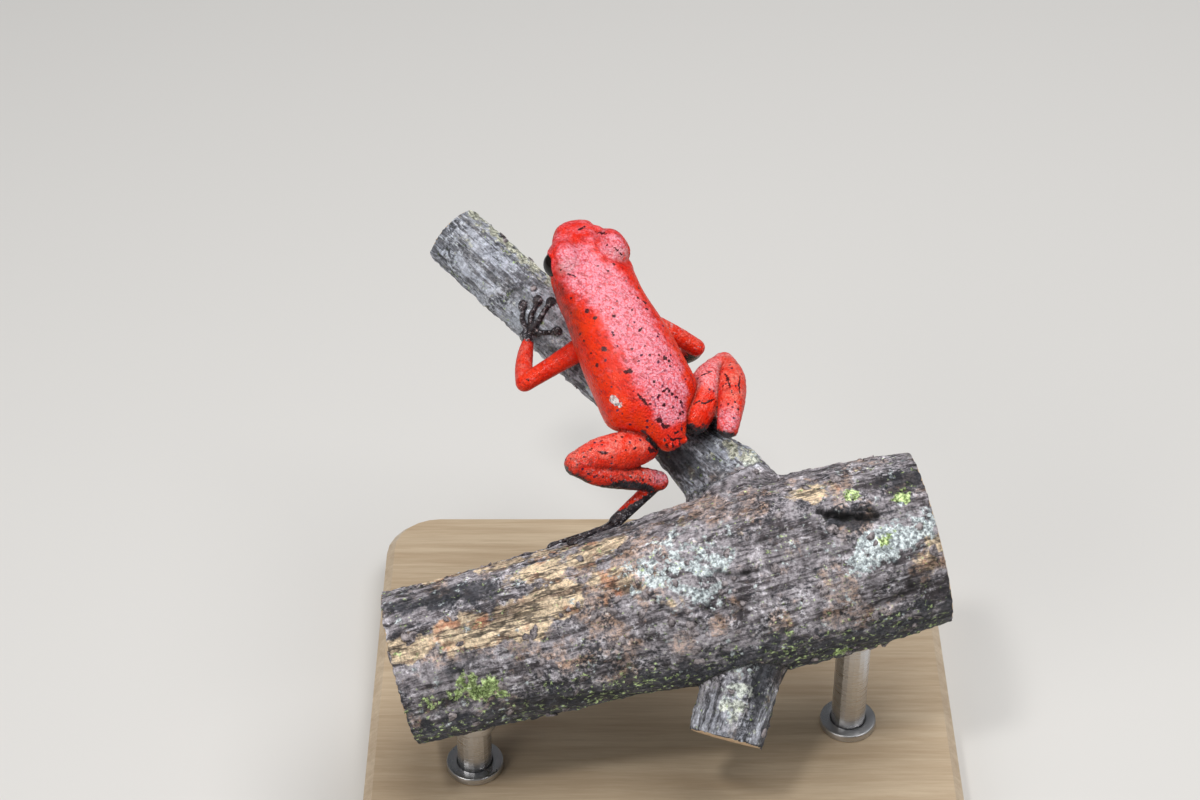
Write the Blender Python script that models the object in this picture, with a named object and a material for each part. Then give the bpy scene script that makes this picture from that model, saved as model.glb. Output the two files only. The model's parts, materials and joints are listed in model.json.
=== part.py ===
"""Strawberry poison dart frog on a cut fork of branch, held by a plain display stand.

A still, life-size model. Shapes are worked out in millimetres and written in metres.
X runs to the right of the view, Y away from it and Z up, with the origin at the middle of
the underside of the base.
"""

import bmesh
import bpy
import math
from mathutils import Matrix, Vector
from mathutils.bvhtree import BVHTree

METRES = 0.001
GAP = 0.35

# Middle line of the body from the snout to the vent, and its upward direction at each point.
SPINE = [Vector(p) for p in (
    (-8.05, 13.4, 44.6), (-5.6, 7.4, 41.4), (-3.0, 2.9, 38.0), (0.7, -3.2, 33.2))]
SPINE_UP = [Vector(p) for p in (
    (0.170, -0.397, 0.902), (0.20, -0.46, 0.865), (0.218, -0.515, 0.829), (0.218, -0.515, 0.829))]
BODY_SIDES = 28
BACK_SQUARENESS = 2.35

# Distance behind the snout, half width, height above and depth below the middle line.
HEAD_ROWS = [
    (0.05, 0.60, 0.35, 0.35), (0.30, 1.22, 0.75, 0.75), (0.80, 1.70, 1.12, 1.08),
    (1.45, 2.05, 1.40, 1.30), (2.30, 2.45, 1.72, 1.58), (3.30, 2.88, 2.02, 1.95),
    (4.40, 3.22, 2.18, 2.25), (5.50, 3.45, 2.25, 2.45), (6.70, 3.60, 2.32, 2.55)]
TORSO_ROWS = [
    (7.00, 3.55, 2.34, 2.57), (8.20, 3.56, 2.46, 2.70), (9.60, 3.68, 2.60, 2.85),
    (11.40, 3.92, 2.78, 3.05), (13.30, 4.12, 2.88, 3.20), (15.20, 4.18, 2.85, 3.32),
    (16.70, 4.26, 2.74, 3.40), (17.90, 4.16, 2.58, 3.42), (18.90, 3.38, 2.30, 2.85),
    (19.80, 2.42, 1.98, 2.05), (20.80, 1.72, 1.55, 1.40), (21.60, 1.20, 1.10, 0.95),
    (22.10, 0.60, 0.60, 0.50)]

# Places on the head: distance behind the snout, distance to the side, height.
EYE_PLACE = (4.00, 2.66, 0.60)
EYE_RADIUS = 1.20
LID_PLACE = (3.95, 2.26, 0.66)
LID_SIZE = (1.62, 2.00, 1.85)
NOSTRIL_PLACE = (0.75, 1.18, 0.42)
NOSTRIL_RADIUS = 0.15
EARDRUM_PLACE = (5.55, 0.10)
EARDRUM_RADIUS = 0.46
MOUTH_STATIONS = [0.32, 0.8, 1.5, 2.4, 3.4, 4.3, 4.9]
MOUTH_SHARE = 0.45
MOUTH_RADIUS = 0.10
LIP_RADIUS = 0.22

# Points of the limbs from the root outward, and the radius at each.
LIMBS = {
    "upper_arm_left": ([(-5.2, 5.9, 38.9), (-6.9, 5.2, 37.5), (-9.5, 4.3, 36.1), (-11.9, 3.5, 34.9)],
                       [1.05, 0.92, 0.72, 0.68]),
    "forearm_left": ([(-11.9, 3.5, 34.9), (-12.0, 5.2, 35.1), (-11.9, 6.8, 35.4), (-11.7, 8.0, 35.8)],
                     [0.68, 0.72, 0.66, 0.50]),
    "upper_arm_right": ([(-3.0, 6.2, 40.1), (-1.6, 6.3, 39.2), (0.7, 6.4, 37.9), (2.7, 6.2, 36.6)],
                        [1.05, 0.92, 0.72, 0.68]),
    "forearm_right": ([(2.7, 6.2, 36.6), (2.3, 6.8, 35.6), (1.4, 7.4, 34.6), (0.5, 7.9, 33.7)],
                      [0.68, 0.72, 0.66, 0.50]),
    "thigh_left": ([(-2.0, -2.6, 33.0), (-3.6, -3.5, 33.1), (-5.6, -4.5, 33.4), (-7.4, -5.5, 33.4)],
                   [1.40, 1.62, 1.45, 1.05]),
    "shank_left": ([(-7.4, -5.5, 33.4), (-5.6, -5.2, 32.3), (-3.2, -4.4, 31.1), (-0.6, -3.5, 29.9)],
                   [0.98, 1.15, 1.05, 0.82]),
    "thigh_right": ([(2.4, -0.3, 34.2), (3.1, 1.3, 34.7), (3.9, 3.2, 35.3), (5.0, 5.1, 35.6)],
                    [1.30, 1.62, 1.50, 1.05]),
    "shank_right": ([(5.0, 5.1, 35.6), (5.5, 2.7, 35.9), (5.5, 0.1, 35.7), (5.1, -2.7, 35.0)],
                    [0.98, 1.15, 1.05, 0.82]),
}
LIMB_SIDES = 14

# Straight middle lines of the two sticks that the frog holds, with their radii at both ends.
TWIG = (Vector((3.2, 0.95, 28.9)), Vector((-18.5, 19.2, 39.4)), 2.70, 2.70)
BRANCH = (Vector((-22.3, -12.9, 17.2)), Vector((22.2, -6.0, 26.0)), 6.40, 7.15)
TWIG_ROOT = [((6.9, -3.7, 26.2), 4.60), ((6.2, -2.4, 26.8), 4.25), ((4.8, -0.7, 27.8), 3.50),
             ((3.2, 0.7, 28.8), 2.95)]
SIDE_BRANCH = [((9.6, -7.6, 23.6), 4.60), ((7.6, -11.2, 20.2), 3.70), ((6.3, -14.4, 17.2), 3.15),
               ((5.0, -17.9, 13.9), 3.05)]
BRANCH_WAVES = 0.12

# Hands and feet: places on a stick as distance along it, degrees around it and lift above it.
# The first entry is the palm, the others the tips of the digits from the inner to the outer.
GRIPS = {
    "hand_left": (TWIG, (18.0, -86.0, 0.95), [
        ((17.2, -63.0, 0.62), (16.2, -43.0, 0.60)),
        ((18.1, -50.0, 0.62), (18.5, -14.5, 0.60)),
        ((18.8, -57.0, 0.62), (19.4, -27.0, 0.60)),
        ((19.3, -71.0, 0.62), (20.1, -49.0, 0.60))]),
    "hand_right": (TWIG, (8.7, 80.0, 0.95), [
        ((9.6, 68.0, 0.62), (10.2, 54.0, 0.60)),
        ((10.6, 74.0, 0.62), (12.6, 66.0, 0.60)),
        ((10.8, 86.0, 0.62), (13.2, 86.0, 0.60)),
        ((10.4, 98.0, 0.62), (12.2, 106.0, 0.60))]),
    "foot_left": (BRANCH, (20.6, -41.0, 1.00), [
        ((19.8, -52.0, 0.78), (19.1, -60.0, 0.75)),
        ((18.9, -50.0, 0.78), (17.4, -58.0, 0.75)),
        ((18.2, -46.0, 0.78), (15.9, -50.0, 0.75)),
        ((17.8, -41.0, 0.78), (14.8, -40.0, 0.75)),
        ((18.6, -36.0, 0.78), (16.7, -28.0, 0.75))]),
    "foot_right": (TWIG, (0.6, 24.0, 0.95), [
        ((1.6, 20.0, 0.64), (2.8, 22.0, 0.62)),
        ((2.3, 32.0, 0.64), (4.0, 38.0, 0.62)),
        ((2.6, 44.0, 0.64), (5.2, 54.0, 0.62)),
        ((2.5, 56.0, 0.64), (6.0, 72.0, 0.62)),
        ((1.7, 62.0, 0.64), (3.9, 88.0, 0.62))]),
}
PALM_RADIUS = {"hand": 0.62, "foot": 0.60}
TARSUS_RADIUS = 0.58
DIGIT_RADIUS = 0.27
DISC_SIZE = (0.50, 0.56, 0.25)
WRIST = {"hand_left": (-11.7, 8.0, 35.8), "hand_right": (0.5, 7.9, 33.7),
         "foot_left": (-0.6, -3.5, 29.9), "foot_right": (5.1, -2.7, 35.0)}

# Display stand.
BASE_SIZE = (52.0, 44.0, 4.5)
BASE_CORNER = 5.0
BASE_CHAMFER = 0.8
ROD_RADIUS = 1.5
ROD_FOOT = 2.5
ROD_PLACES = {"left": (-16.4, -11.8), "right": (16.5, -6.6)}

COLOURS = {
    "skin_back": ((0.72, 0.05, 0.035), 0.38, 0.0),
    "skin_limb": ((0.66, 0.035, 0.02), 0.4, 0.0),
    "skin_digit": ((0.045, 0.04, 0.045), 0.35, 0.0),
    "eye": ((0.006, 0.006, 0.007), 0.06, 0.0),
    "bark": ((0.13, 0.09, 0.065), 0.85, 0.0),
    "twig_bark": ((0.2, 0.19, 0.19), 0.8, 0.0),
    "base_wood": ((0.55, 0.44, 0.31), 0.42, 0.0),
    "steel": ((0.55, 0.55, 0.56), 0.28, 1.0),
}


def smooth(values, steps):
    """Values on a smooth curve through the given ones, with so many steps between each pair."""
    result = []
    for i in range(len(values) - 1):
        before = values[max(i - 1, 0)]
        start = values[i]
        end = values[i + 1]
        after = values[min(i + 2, len(values) - 1)]
        for k in range(steps):
            t = k / steps
            bend = (2 * before - 5 * start + 4 * end - after) * t ** 2
            twist = (3 * start - before - 3 * end + after) * t ** 3
            result.append((2 * start + (end - before) * t + bend + twist) * 0.5)
    result.append(values[-1])
    return result


def make_object(name, bm):
    """Turn a bmesh into an object with its faces pointing outward."""
    bm.normal_update()
    bmesh.ops.recalc_face_normals(bm, faces=bm.faces)
    mesh = bpy.data.meshes.new(name)
    bm.to_mesh(mesh)
    bm.free()
    obj = bpy.data.objects.new(name, mesh)
    bpy.context.scene.collection.objects.link(obj)
    return obj


def loft(name, rings, first, last):
    """Closed mesh through rings of points, with a point at either end."""
    bm = bmesh.new()
    rows = [[bm.verts.new(p) for p in ring] for ring in rings]
    for low, high in zip(rows, rows[1:]):
        for j in range(len(low)):
            k = (j + 1) % len(low)
            bm.faces.new((low[j], low[k], high[k], high[j]))
    for row, tip in ((rows[0], first), (rows[-1], last)):
        middle = bm.verts.new(tip)
        for j in range(len(row)):
            bm.faces.new((row[j], row[(j + 1) % len(row)], middle))
    return make_object(name, bm)


def ring(centre, forward, up, radius, sides, flat=1.0):
    """Points around a centre, square to the forward direction."""
    side = forward.cross(up).normalized()
    up = side.cross(forward).normalized()
    turns = [2 * math.pi * j / sides for j in range(sides)]
    return [centre + side * (radius * math.cos(a)) + up * (radius * flat * math.sin(a))
            for a in turns]


def tube(name, path, radii, up, sides=LIMB_SIDES, steps=3, grow=0.0, caps=(35, 65), flat=1.0):
    """Rod of changing thickness along a smooth path. Up is one direction, or one per point."""
    ups = up if isinstance(up, list) else [up] * len(path)
    points = smooth([Vector(p) for p in path], steps)
    sizes = [r + grow for r in smooth(radii, steps)]
    ups = smooth(ups, steps)
    last = len(points) - 1
    forward = [(points[min(i + 1, last)] - points[max(i - 1, 0)]).normalized()
               for i in range(last + 1)]
    rings = [ring(points[i], forward[i], ups[i], sizes[i], sides, flat) for i in range(last + 1)]
    start = points[0]
    end = points[-1]
    for angle in caps:
        reach = math.sin(math.radians(angle))
        narrow = math.cos(math.radians(angle))
        back = path_end(points[0], forward[0], -sizes[0] * reach)
        rings.insert(0, ring(back, forward[0], ups[0], sizes[0] * narrow, sides, flat))
        ahead = path_end(points[-1], forward[-1], sizes[-1] * reach)
        rings.append(ring(ahead, forward[-1], ups[-1], sizes[-1] * narrow, sides, flat))
    if caps:
        start = path_end(points[0], forward[0], -sizes[0])
        end = path_end(points[-1], forward[-1], sizes[-1])
    return loft(name, rings, start, end)


def path_end(point, forward, reach):
    """Point beyond the end of a path."""
    return point + forward * reach


def ball(name, centre, axes, sizes, around=20, down=12):
    """Ellipsoid with three half sizes along three directions."""
    bm = bmesh.new()
    bmesh.ops.create_uvsphere(bm, u_segments=around, v_segments=down, radius=1.0)
    for vert in bm.verts:
        x, y, z = vert.co
        vert.co = centre + axes[0] * (x * sizes[0]) + axes[1] * (y * sizes[1]) + axes[2] * (z * sizes[2])
    return make_object(name, bm)


def keep_largest(obj):
    """Drop every closed surface of the mesh but the largest, then join points that coincide."""
    bm = bmesh.new()
    bm.from_mesh(obj.data)
    bmesh.ops.remove_doubles(bm, verts=bm.verts, dist=0.0001)
    left = set(bm.faces)
    pieces = []
    while left:
        stack = [left.pop()]
        piece = list(stack)
        while stack:
            for edge in stack.pop().edges:
                for face in edge.link_faces:
                    if face in left:
                        left.remove(face)
                        stack.append(face)
                        piece.append(face)
        pieces.append(piece)
    pieces.sort(key=lambda piece: sum(face.calc_area() for face in piece))
    for piece in pieces[:-1]:
        bmesh.ops.delete(bm, geom=piece, context="FACES")
    loose = [vert for vert in bm.verts if not vert.link_faces]
    bmesh.ops.delete(bm, geom=loose, context="VERTS")
    bm.to_mesh(obj.data)
    bm.free()


def combine(obj, tool, operation):
    """Join a tool to a solid or cut it away, and remove the tool."""
    modifier = obj.modifiers.new(operation, "BOOLEAN")
    modifier.operation = operation
    modifier.object = tool
    modifier.solver = "EXACT"
    graph = bpy.context.evaluated_depsgraph_get()
    mesh = bpy.data.meshes.new_from_object(obj.evaluated_get(graph))
    obj.modifiers.clear()
    old = obj.data
    obj.data = mesh
    bpy.data.meshes.remove(old)
    remove(tool)
    keep_largest(obj)


def remove(obj):
    """Delete an object and its mesh."""
    mesh = obj.data
    bpy.data.objects.remove(obj)
    bpy.data.meshes.remove(mesh)


def surface_tree(obj):
    """Search tree of the faces of an object."""
    bm = bmesh.new()
    bm.from_mesh(obj.data)
    tree = BVHTree.FromBMesh(bm)
    bm.free()
    return tree


def cut(obj, *tools):
    """Cut tools away from a solid, where they reach it."""
    for tool in tools:
        if surface_tree(obj).overlap(surface_tree(tool)):
            combine(obj, tool, "DIFFERENCE")
        else:
            remove(tool)


def join(obj, *tools):
    """Join tools to a solid."""
    for tool in tools:
        combine(obj, tool, "UNION")


def spine(distance):
    """Centre, forward, right and up directions of the body so far behind the snout."""
    points = smooth(SPINE, 12)
    ups = smooth(SPINE_UP, 12)
    walked = 0.0
    for i in range(len(points) - 1):
        step = (points[i + 1] - points[i]).length
        if walked + step >= distance or i == len(points) - 2:
            part = (distance - walked) / step
            break
        walked += step
    centre = points[i].lerp(points[i + 1], part)
    before = points[max(i - 3, 0)]
    after = points[min(i + 4, len(points) - 1)]
    forward = (before - after).normalized()
    right = forward.cross(ups[i]).normalized()
    return centre, forward, right, right.cross(forward).normalized()


def on_body(distance, side, height):
    """Point of the body given by its distance behind the snout, side and height."""
    centre, forward, right, up = spine(distance)
    return centre + right * side + up * height


def row_at(rows, distance):
    """Half width, height and depth of the body so far behind the snout."""
    for low, high in zip(rows, rows[1:]):
        if distance <= high[0]:
            part = (distance - low[0]) / (high[0] - low[0])
            return [a + (b - a) * part for a, b in zip(low[1:], high[1:])]
    return rows[-1][1:]


def flank_width(distance, height):
    """Distance from the middle plane to the side of the head at a height."""
    half, top, bottom = row_at(HEAD_ROWS, distance)
    reach = abs(height) / (top if height > 0 else bottom)
    return half * (1 - min(reach, 1.0) ** BACK_SQUARENESS) ** (1 / BACK_SQUARENESS)


def body(name, rows, grow=0.0):
    """Part of the body through its rows of half width, height and depth."""
    columns = [smooth(list(column), 2) for column in zip(*rows)]
    rings = []
    power = 2 / BACK_SQUARENESS
    for distance, half, top, bottom in zip(*columns):
        centre, forward, right, up = spine(distance)
        points = []
        for j in range(BODY_SIDES):
            angle = 2 * math.pi * j / BODY_SIDES
            across = math.copysign(abs(math.cos(angle)) ** power, math.cos(angle))
            rise = math.copysign(abs(math.sin(angle)) ** power, math.sin(angle))
            height = (top if rise > 0 else bottom) + grow
            points.append(centre + right * (across * (half + grow)) + up * (rise * height))
        rings.append(points)
    first = spine(columns[0][0])
    last = spine(columns[0][-1])
    return loft(name, rings, first[0] + first[1] * (grow + 0.001), last[0] - last[1] * (grow + 0.001))


def limb(name, grow=0.0):
    """One segment of a leg or arm."""
    path, radii = LIMBS[name]
    return tube(name, path, radii, Vector((0.1, -0.6, 0.8)), grow=grow)


def stick_axes(stick):
    """Direction of a stick, the upward direction square to it, and the one to its side."""
    along = (stick[1] - stick[0]).normalized()
    top = (Vector((0, 0, 1)) - along * along.z).normalized()
    return along, top, along.cross(top)


def on_stick(stick, distance, degrees, lift):
    """Point near a stick, and the direction away from the stick there."""
    along, top, side = stick_axes(stick)
    share = distance / (stick[1] - stick[0]).length
    radius = stick[2] + (stick[3] - stick[2]) * share
    angle = math.radians(degrees)
    away = top * math.cos(angle) + side * math.sin(angle)
    return stick[0] + along * distance + away * (radius + lift), away


def between(first, second, part):
    """Place on a stick between two places."""
    return tuple(a + (b - a) * part for a, b in zip(first, second))


def digit(name, stick, palm, middle, tip):
    """Finger or toe lying along a stick, with the flat round disc at its end."""
    places = [palm, between(palm, middle, 0.5), middle, between(middle, tip, 0.55), tip]
    found = [on_stick(stick, *place) for place in places]
    path = [point for point, away in found]
    away = [direction for point, direction in found]
    radii = [DIGIT_RADIUS * k for k in (1.15, 1.1, 1.0, 0.95, 0.95)]
    finger = tube(name, path, radii, away, sides=7, steps=2, caps=(50,))
    forward = (path[-1] - path[-2]).normalized()
    side = forward.cross(away[-1]).normalized()
    axes = (side, forward, side.cross(forward).normalized())
    disc = ball(name + "_disc", path[-1], axes, DISC_SIZE, around=9, down=6)
    join(finger, disc)
    return finger


def grip(name):
    """Hand or foot: wrist or tarsus, palm and digits."""
    stick, palm, digits = GRIPS[name]
    kind = name.split("_")[0]
    centre, away = on_stick(stick, *palm)
    root = Vector(WRIST[name])
    path = [root, root.lerp(centre, 0.4), root.lerp(centre, 0.8), centre]
    thick = TARSUS_RADIUS if kind == "foot" else 0.5
    result = tube(name, path, [thick * 1.08, thick, thick * 0.98, PALM_RADIUS[kind] * 0.95], away,
                  sides=12, steps=2)
    for middle, tip in digits:
        join(result, digit(name + "_digit", stick, palm, middle, tip))
    return result


def wavy_stick(name, points, radii, waves, sides=24, steps=4, grow=0.0):
    """Cut piece of branch with a slightly uneven round and flat ends."""
    path = smooth([Vector(p) for p in points], steps)
    sizes = smooth(radii, steps)
    last = len(path) - 1
    rings = []
    for i, point in enumerate(path):
        forward = (path[min(i + 1, last)] - path[max(i - 1, 0)]).normalized()
        side = forward.cross(Vector((0, -0.3, 1))).normalized()
        up = side.cross(forward)
        row = []
        for j in range(sides):
            angle = 2 * math.pi * j / sides
            swell = waves * math.sin(3 * angle + 0.7 * i) * math.sin(0.9 * i + 1.3)
            radius = sizes[i] + grow + swell
            row.append(point + side * (radius * math.cos(angle)) + up * (radius * math.sin(angle)))
        rings.append(row)
    return loft(name, rings, path[0], path[-1])


def branch(name, grow=0.0):
    """Thick branch with the stub of its side branch."""
    points = [BRANCH[0].lerp(BRANCH[1], k) for k in (0.0, 0.2, 0.4, 0.6, 0.8, 1.0)]
    if grow:
        axis = (BRANCH[1] - BRANCH[0]).normalized()
        points[0] = points[0] - axis * grow
        points[-1] = points[-1] + axis * grow
    radii = [6.40, 6.55, 6.80, 7.60, 7.75, 7.15]
    result = wavy_stick(name, points, radii, BRANCH_WAVES, grow=grow)
    path = [point for point, radius in SIDE_BRANCH]
    radii = [radius for point, radius in SIDE_BRANCH]
    join(result, wavy_stick(name + "_side", path, radii, BRANCH_WAVES * 0.6, sides=18, steps=3, grow=grow))
    return result


def twig(name, grow=0.0):
    """Thin twig with its flared root."""
    points = [TWIG[0].lerp(TWIG[1], k) for k in (0.12, 0.35, 0.6, 0.8, 1.0)]
    root = [Vector(point) for point, radius in TWIG_ROOT]
    radii = [radius for point, radius in TWIG_ROOT] + [2.70] * len(points)
    return wavy_stick(name, root + points, radii, 0.0, sides=20, steps=2, grow=grow)


def base(name):
    """Flat base with round corners and a chamfered top edge."""
    half_x = BASE_SIZE[0] / 2
    half_y = BASE_SIZE[1] / 2

    def outline(inset, height):
        points = []
        corner = BASE_CORNER - inset
        for turn, (sx, sy) in enumerate(((1, 1), (-1, 1), (-1, -1), (1, -1))):
            for k in range(7):
                angle = math.pi / 2 * (turn + k / 6)
                x = sx * (half_x - BASE_CORNER) + corner * math.cos(angle)
                y = sy * (half_y - BASE_CORNER) + corner * math.sin(angle)
                points.append(Vector((x, y, height)))
        return points

    top = BASE_SIZE[2]
    rings = [outline(0, 0), outline(0, top - BASE_CHAMFER), outline(BASE_CHAMFER, top)]
    return loft(name, rings, Vector((0, 0, 0)), Vector((0, 0, top)))


def post(name, side, grow=0.0, bottom=None, top=24.0):
    """Upright round rod under the branch."""
    x, y = ROD_PLACES[side]
    low = ROD_FOOT if bottom is None else bottom
    path = [Vector((x, y, low)), Vector((x, y, (low + top) / 2)), Vector((x, y, top))]
    return tube(name, path, [ROD_RADIUS] * 3, Vector((0, 1, 0)), sides=20, steps=1, grow=grow,
                caps=())


def head():
    """Head with lids round the eye sockets, nostrils, lips, mouth line and eardrums."""
    result = body("head", HEAD_ROWS)
    for side in (-1, 1):
        distance, across, height = LID_PLACE
        centre, forward, right, up = spine(distance)
        place = on_body(distance, across * side, height)
        join(result, ball("lid", place, (right, forward, up), LID_SIZE, around=18, down=10))
    path = []
    ups = []
    for side, order in ((-1, MOUTH_STATIONS[::-1]), (1, MOUTH_STATIONS)):
        for distance in order:
            height = -MOUTH_SHARE * row_at(HEAD_ROWS, distance)[2]
            path.append(on_body(distance, side * (flank_width(distance, height) - 0.06), height))
            ups.append(spine(distance)[3])
        if side < 0:
            path.append(on_body(0.06, 0, -MOUTH_SHARE * 0.45))
            ups.append(spine(0.1)[3])
    fade = [0.35, 0.75] + [1.0] * (len(path) - 4) + [0.75, 0.35]
    join(result, tube("lips", path, [LIP_RADIUS * k for k in fade], ups, sides=8, steps=1, flat=1.7))
    cut(result, tube("mouth", path, [MOUTH_RADIUS * k for k in fade], ups, sides=6, steps=1, grow=0.05))
    for side in (-1, 1):
        distance, across, height = EYE_PLACE
        centre, forward, right, up = spine(distance)
        place = on_body(distance, across * side, height)
        size = EYE_RADIUS + GAP
        cut(result, ball("socket", place, (right, forward, up), (size, size, size), around=18, down=10))
        distance, across, height = NOSTRIL_PLACE
        centre, forward, right, up = spine(distance)
        place = on_body(distance, across * side, height)
        nostril = (NOSTRIL_RADIUS, NOSTRIL_RADIUS * 1.3, NOSTRIL_RADIUS)
        cut(result, ball("nostril", place, (right, forward, up), nostril, around=10, down=6))
        distance, height = EARDRUM_PLACE
        centre, forward, right, up = spine(distance)
        path = []
        for k in range(11):
            angle = 2 * math.pi * k / 11
            along = EARDRUM_RADIUS * math.cos(angle)
            rise = height + EARDRUM_RADIUS * math.sin(angle)
            here = distance - along
            path.append(on_body(here, side * flank_width(here, rise), rise))
        cut(result, loop_tube("eardrum", path, 0.09, right * side, sides=5))
    return result


def loop_tube(name, path, radius, up, sides=6):
    """Thin closed ring through a loop of points."""
    bm = bmesh.new()
    count = len(path)
    rows = []
    for i, point in enumerate(path):
        forward = (path[(i + 1) % count] - path[i - 1]).normalized()
        rows.append([bm.verts.new(p) for p in ring(point, forward, up, radius, sides)])
    for i in range(count):
        low = rows[i]
        high = rows[(i + 1) % count]
        for j in range(sides):
            k = (j + 1) % sides
            bm.faces.new((low[j], low[k], high[k], high[j]))
    return make_object(name, bm)


def eye(name, side):
    """Eyeball."""
    distance, across, height = EYE_PLACE
    centre, forward, right, up = spine(distance)
    place = on_body(distance, across * side, height)
    sizes = (EYE_RADIUS, EYE_RADIUS, EYE_RADIUS)
    return ball(name, place, (forward, up, right), sizes, around=16, down=10)


def paint(obj, slot):
    """Give an object a material of its own."""
    colour, roughness, metallic = COLOURS[slot]
    material = bpy.data.materials.new(obj.name + "_" + slot)
    material.use_nodes = True
    shader = material.node_tree.nodes["Principled BSDF"]
    shader.inputs["Base Color"].default_value = (*colour, 1.0)
    shader.inputs["Roughness"].default_value = roughness
    shader.inputs["Metallic"].default_value = metallic
    material.diffuse_color = (*colour, 1.0)
    obj.data.materials.clear()
    obj.data.materials.append(material)


def place_in_metres(obj, pivot, parent):
    """Move the mesh to its pivot, in metres, and parent the object."""
    obj.data.transform(Matrix.Translation(-pivot))
    obj.data.transform(Matrix.Scale(METRES, 4))
    obj.location = pivot * METRES
    obj.parent = parent


def build():
    """Build every part of the model."""
    for obj in list(bpy.data.objects):
        bpy.data.objects.remove(obj)
    model = bpy.data.objects.new("frog_model", None)
    bpy.context.scene.collection.objects.link(model)
    parts = []

    torso = body("torso", TORSO_ROWS)
    parts.append((torso, "skin_back", spine(13.0)[0]))
    parts.append((head(), "skin_back", spine(5.5)[0]))
    parts.append((eye("eye_left", -1), "eye", on_body(EYE_PLACE[0], -EYE_PLACE[1], EYE_PLACE[2])))
    parts.append((eye("eye_right", 1), "eye", on_body(EYE_PLACE[0], EYE_PLACE[1], EYE_PLACE[2])))

    for side in ("left", "right"):
        chains = (("upper_arm", "forearm", "hand"), ("thigh", "shank", "foot"))
        for upper, lower, end in chains:
            first = limb(f"{upper}_{side}")
            cut(first, body("socket", TORSO_ROWS, GAP))
            parts.append((first, "skin_limb", Vector(LIMBS[f"{upper}_{side}"][0][1])))
            second = limb(f"{lower}_{side}")
            cut(second, limb(f"{upper}_{side}", GAP), body("clearance", TORSO_ROWS, GAP))
            parts.append((second, "skin_limb", Vector(LIMBS[f"{lower}_{side}"][0][0])))
            third = grip(f"{end}_{side}")
            cut(third, limb(f"{lower}_{side}", GAP))
            parts.append((third, "skin_digit", Vector(WRIST[f"{end}_{side}"])))

    thick = branch("perch_branch")
    parts.append((thick, "bark", BRANCH[0].lerp(BRANCH[1], 0.5)))
    thin = twig("perch_twig")
    cut(thin, branch("seat", GAP))
    parts.append((thin, "twig_bark", TWIG[0].lerp(TWIG[1], 0.5)))

    stand = base("stand_base")
    for side in ("left", "right"):
        cut(stand, post("hole", side, GAP, bottom=ROD_FOOT - GAP))
        rod = post(f"stand_rod_{side}", side)
        cut(rod, branch("saddle", GAP))
        x, y = ROD_PLACES[side]
        parts.append((rod, "steel", Vector((x, y, ROD_FOOT))))
    parts.append((stand, "base_wood", Vector((0, 0, 0))))

    for obj, slot, pivot in parts:
        paint(obj, slot)
        place_in_metres(obj, Vector(pivot), model)


build()
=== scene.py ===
import json
import math
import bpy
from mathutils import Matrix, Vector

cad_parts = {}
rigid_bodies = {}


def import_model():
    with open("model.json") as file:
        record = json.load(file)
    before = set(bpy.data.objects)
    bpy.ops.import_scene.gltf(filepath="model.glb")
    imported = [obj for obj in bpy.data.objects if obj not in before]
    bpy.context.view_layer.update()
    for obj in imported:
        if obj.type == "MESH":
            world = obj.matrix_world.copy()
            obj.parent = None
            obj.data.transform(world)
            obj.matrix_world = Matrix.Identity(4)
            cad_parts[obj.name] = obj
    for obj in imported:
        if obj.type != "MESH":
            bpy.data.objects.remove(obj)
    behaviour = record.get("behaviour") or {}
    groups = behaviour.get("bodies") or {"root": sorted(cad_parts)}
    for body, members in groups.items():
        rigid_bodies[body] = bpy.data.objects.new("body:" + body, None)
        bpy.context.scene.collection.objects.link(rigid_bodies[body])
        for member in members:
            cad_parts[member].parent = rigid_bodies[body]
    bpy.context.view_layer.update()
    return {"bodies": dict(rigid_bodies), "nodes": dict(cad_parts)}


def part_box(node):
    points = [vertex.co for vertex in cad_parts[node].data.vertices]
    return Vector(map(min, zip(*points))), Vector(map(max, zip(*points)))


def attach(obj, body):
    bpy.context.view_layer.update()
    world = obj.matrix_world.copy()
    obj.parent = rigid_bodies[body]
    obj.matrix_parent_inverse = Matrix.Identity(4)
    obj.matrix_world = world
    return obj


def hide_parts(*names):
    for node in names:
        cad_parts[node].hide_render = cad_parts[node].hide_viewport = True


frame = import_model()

from types import SimpleNamespace
import bmesh
import bpy
import numpy as np
from mathutils import Matrix, Vector, noise
from mathutils.bvhtree import BVHTree

print("frame loaded:", len(frame["nodes"]), "nodes")
rootBody = next(iter(frame["bodies"]))
world = bpy.context.scene

# Shapes are worked out in millimetres and scaled to metres at the end.
toMetres = 0.001

view = {
    "aim": (-5.5, 1.0, 35.0),
    "elevation": 38,
    "distance": 220,
    "lens": 78.54,
    "sensor": 36,
    # width and height of the picture in pixels
    "picture": (1200, 800),
}
viewLift = math.radians(view["elevation"])
towardsCamera = Vector((0, -math.cos(viewLift), math.sin(viewLift)))
viewUp = Vector((0, math.sin(viewLift), math.cos(viewLift)))
cameraPlace = Vector(view["aim"]) + towardsCamera * view["distance"]


def makeCamera():
    lens = bpy.data.cameras.new("photoCamera")
    lens.lens = view["lens"]
    lens.sensor_width = view["sensor"]
    lens.clip_start = 0.01
    camera = bpy.data.objects.new("photoCamera", lens)
    world.collection.objects.link(camera)
    camera.location = cameraPlace * toMetres
    camera.rotation_euler = (math.radians(90 - view["elevation"]), 0, 0)
    world.camera = camera


def seenOn(tree, x, y):
    # place on a surface that the camera sees at a pixel of the picture
    wide, high = view["picture"]
    across = Vector((x - wide / 2, 0, 0)) + viewUp * (high / 2 - y)
    sight = across - towardsCamera * wide * view["lens"] / view["sensor"]
    return np.array(tree.ray_cast(cameraPlace, sight.normalized())[0])


makeCamera()
print("camera placed")


# Small tools for shapes

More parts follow.
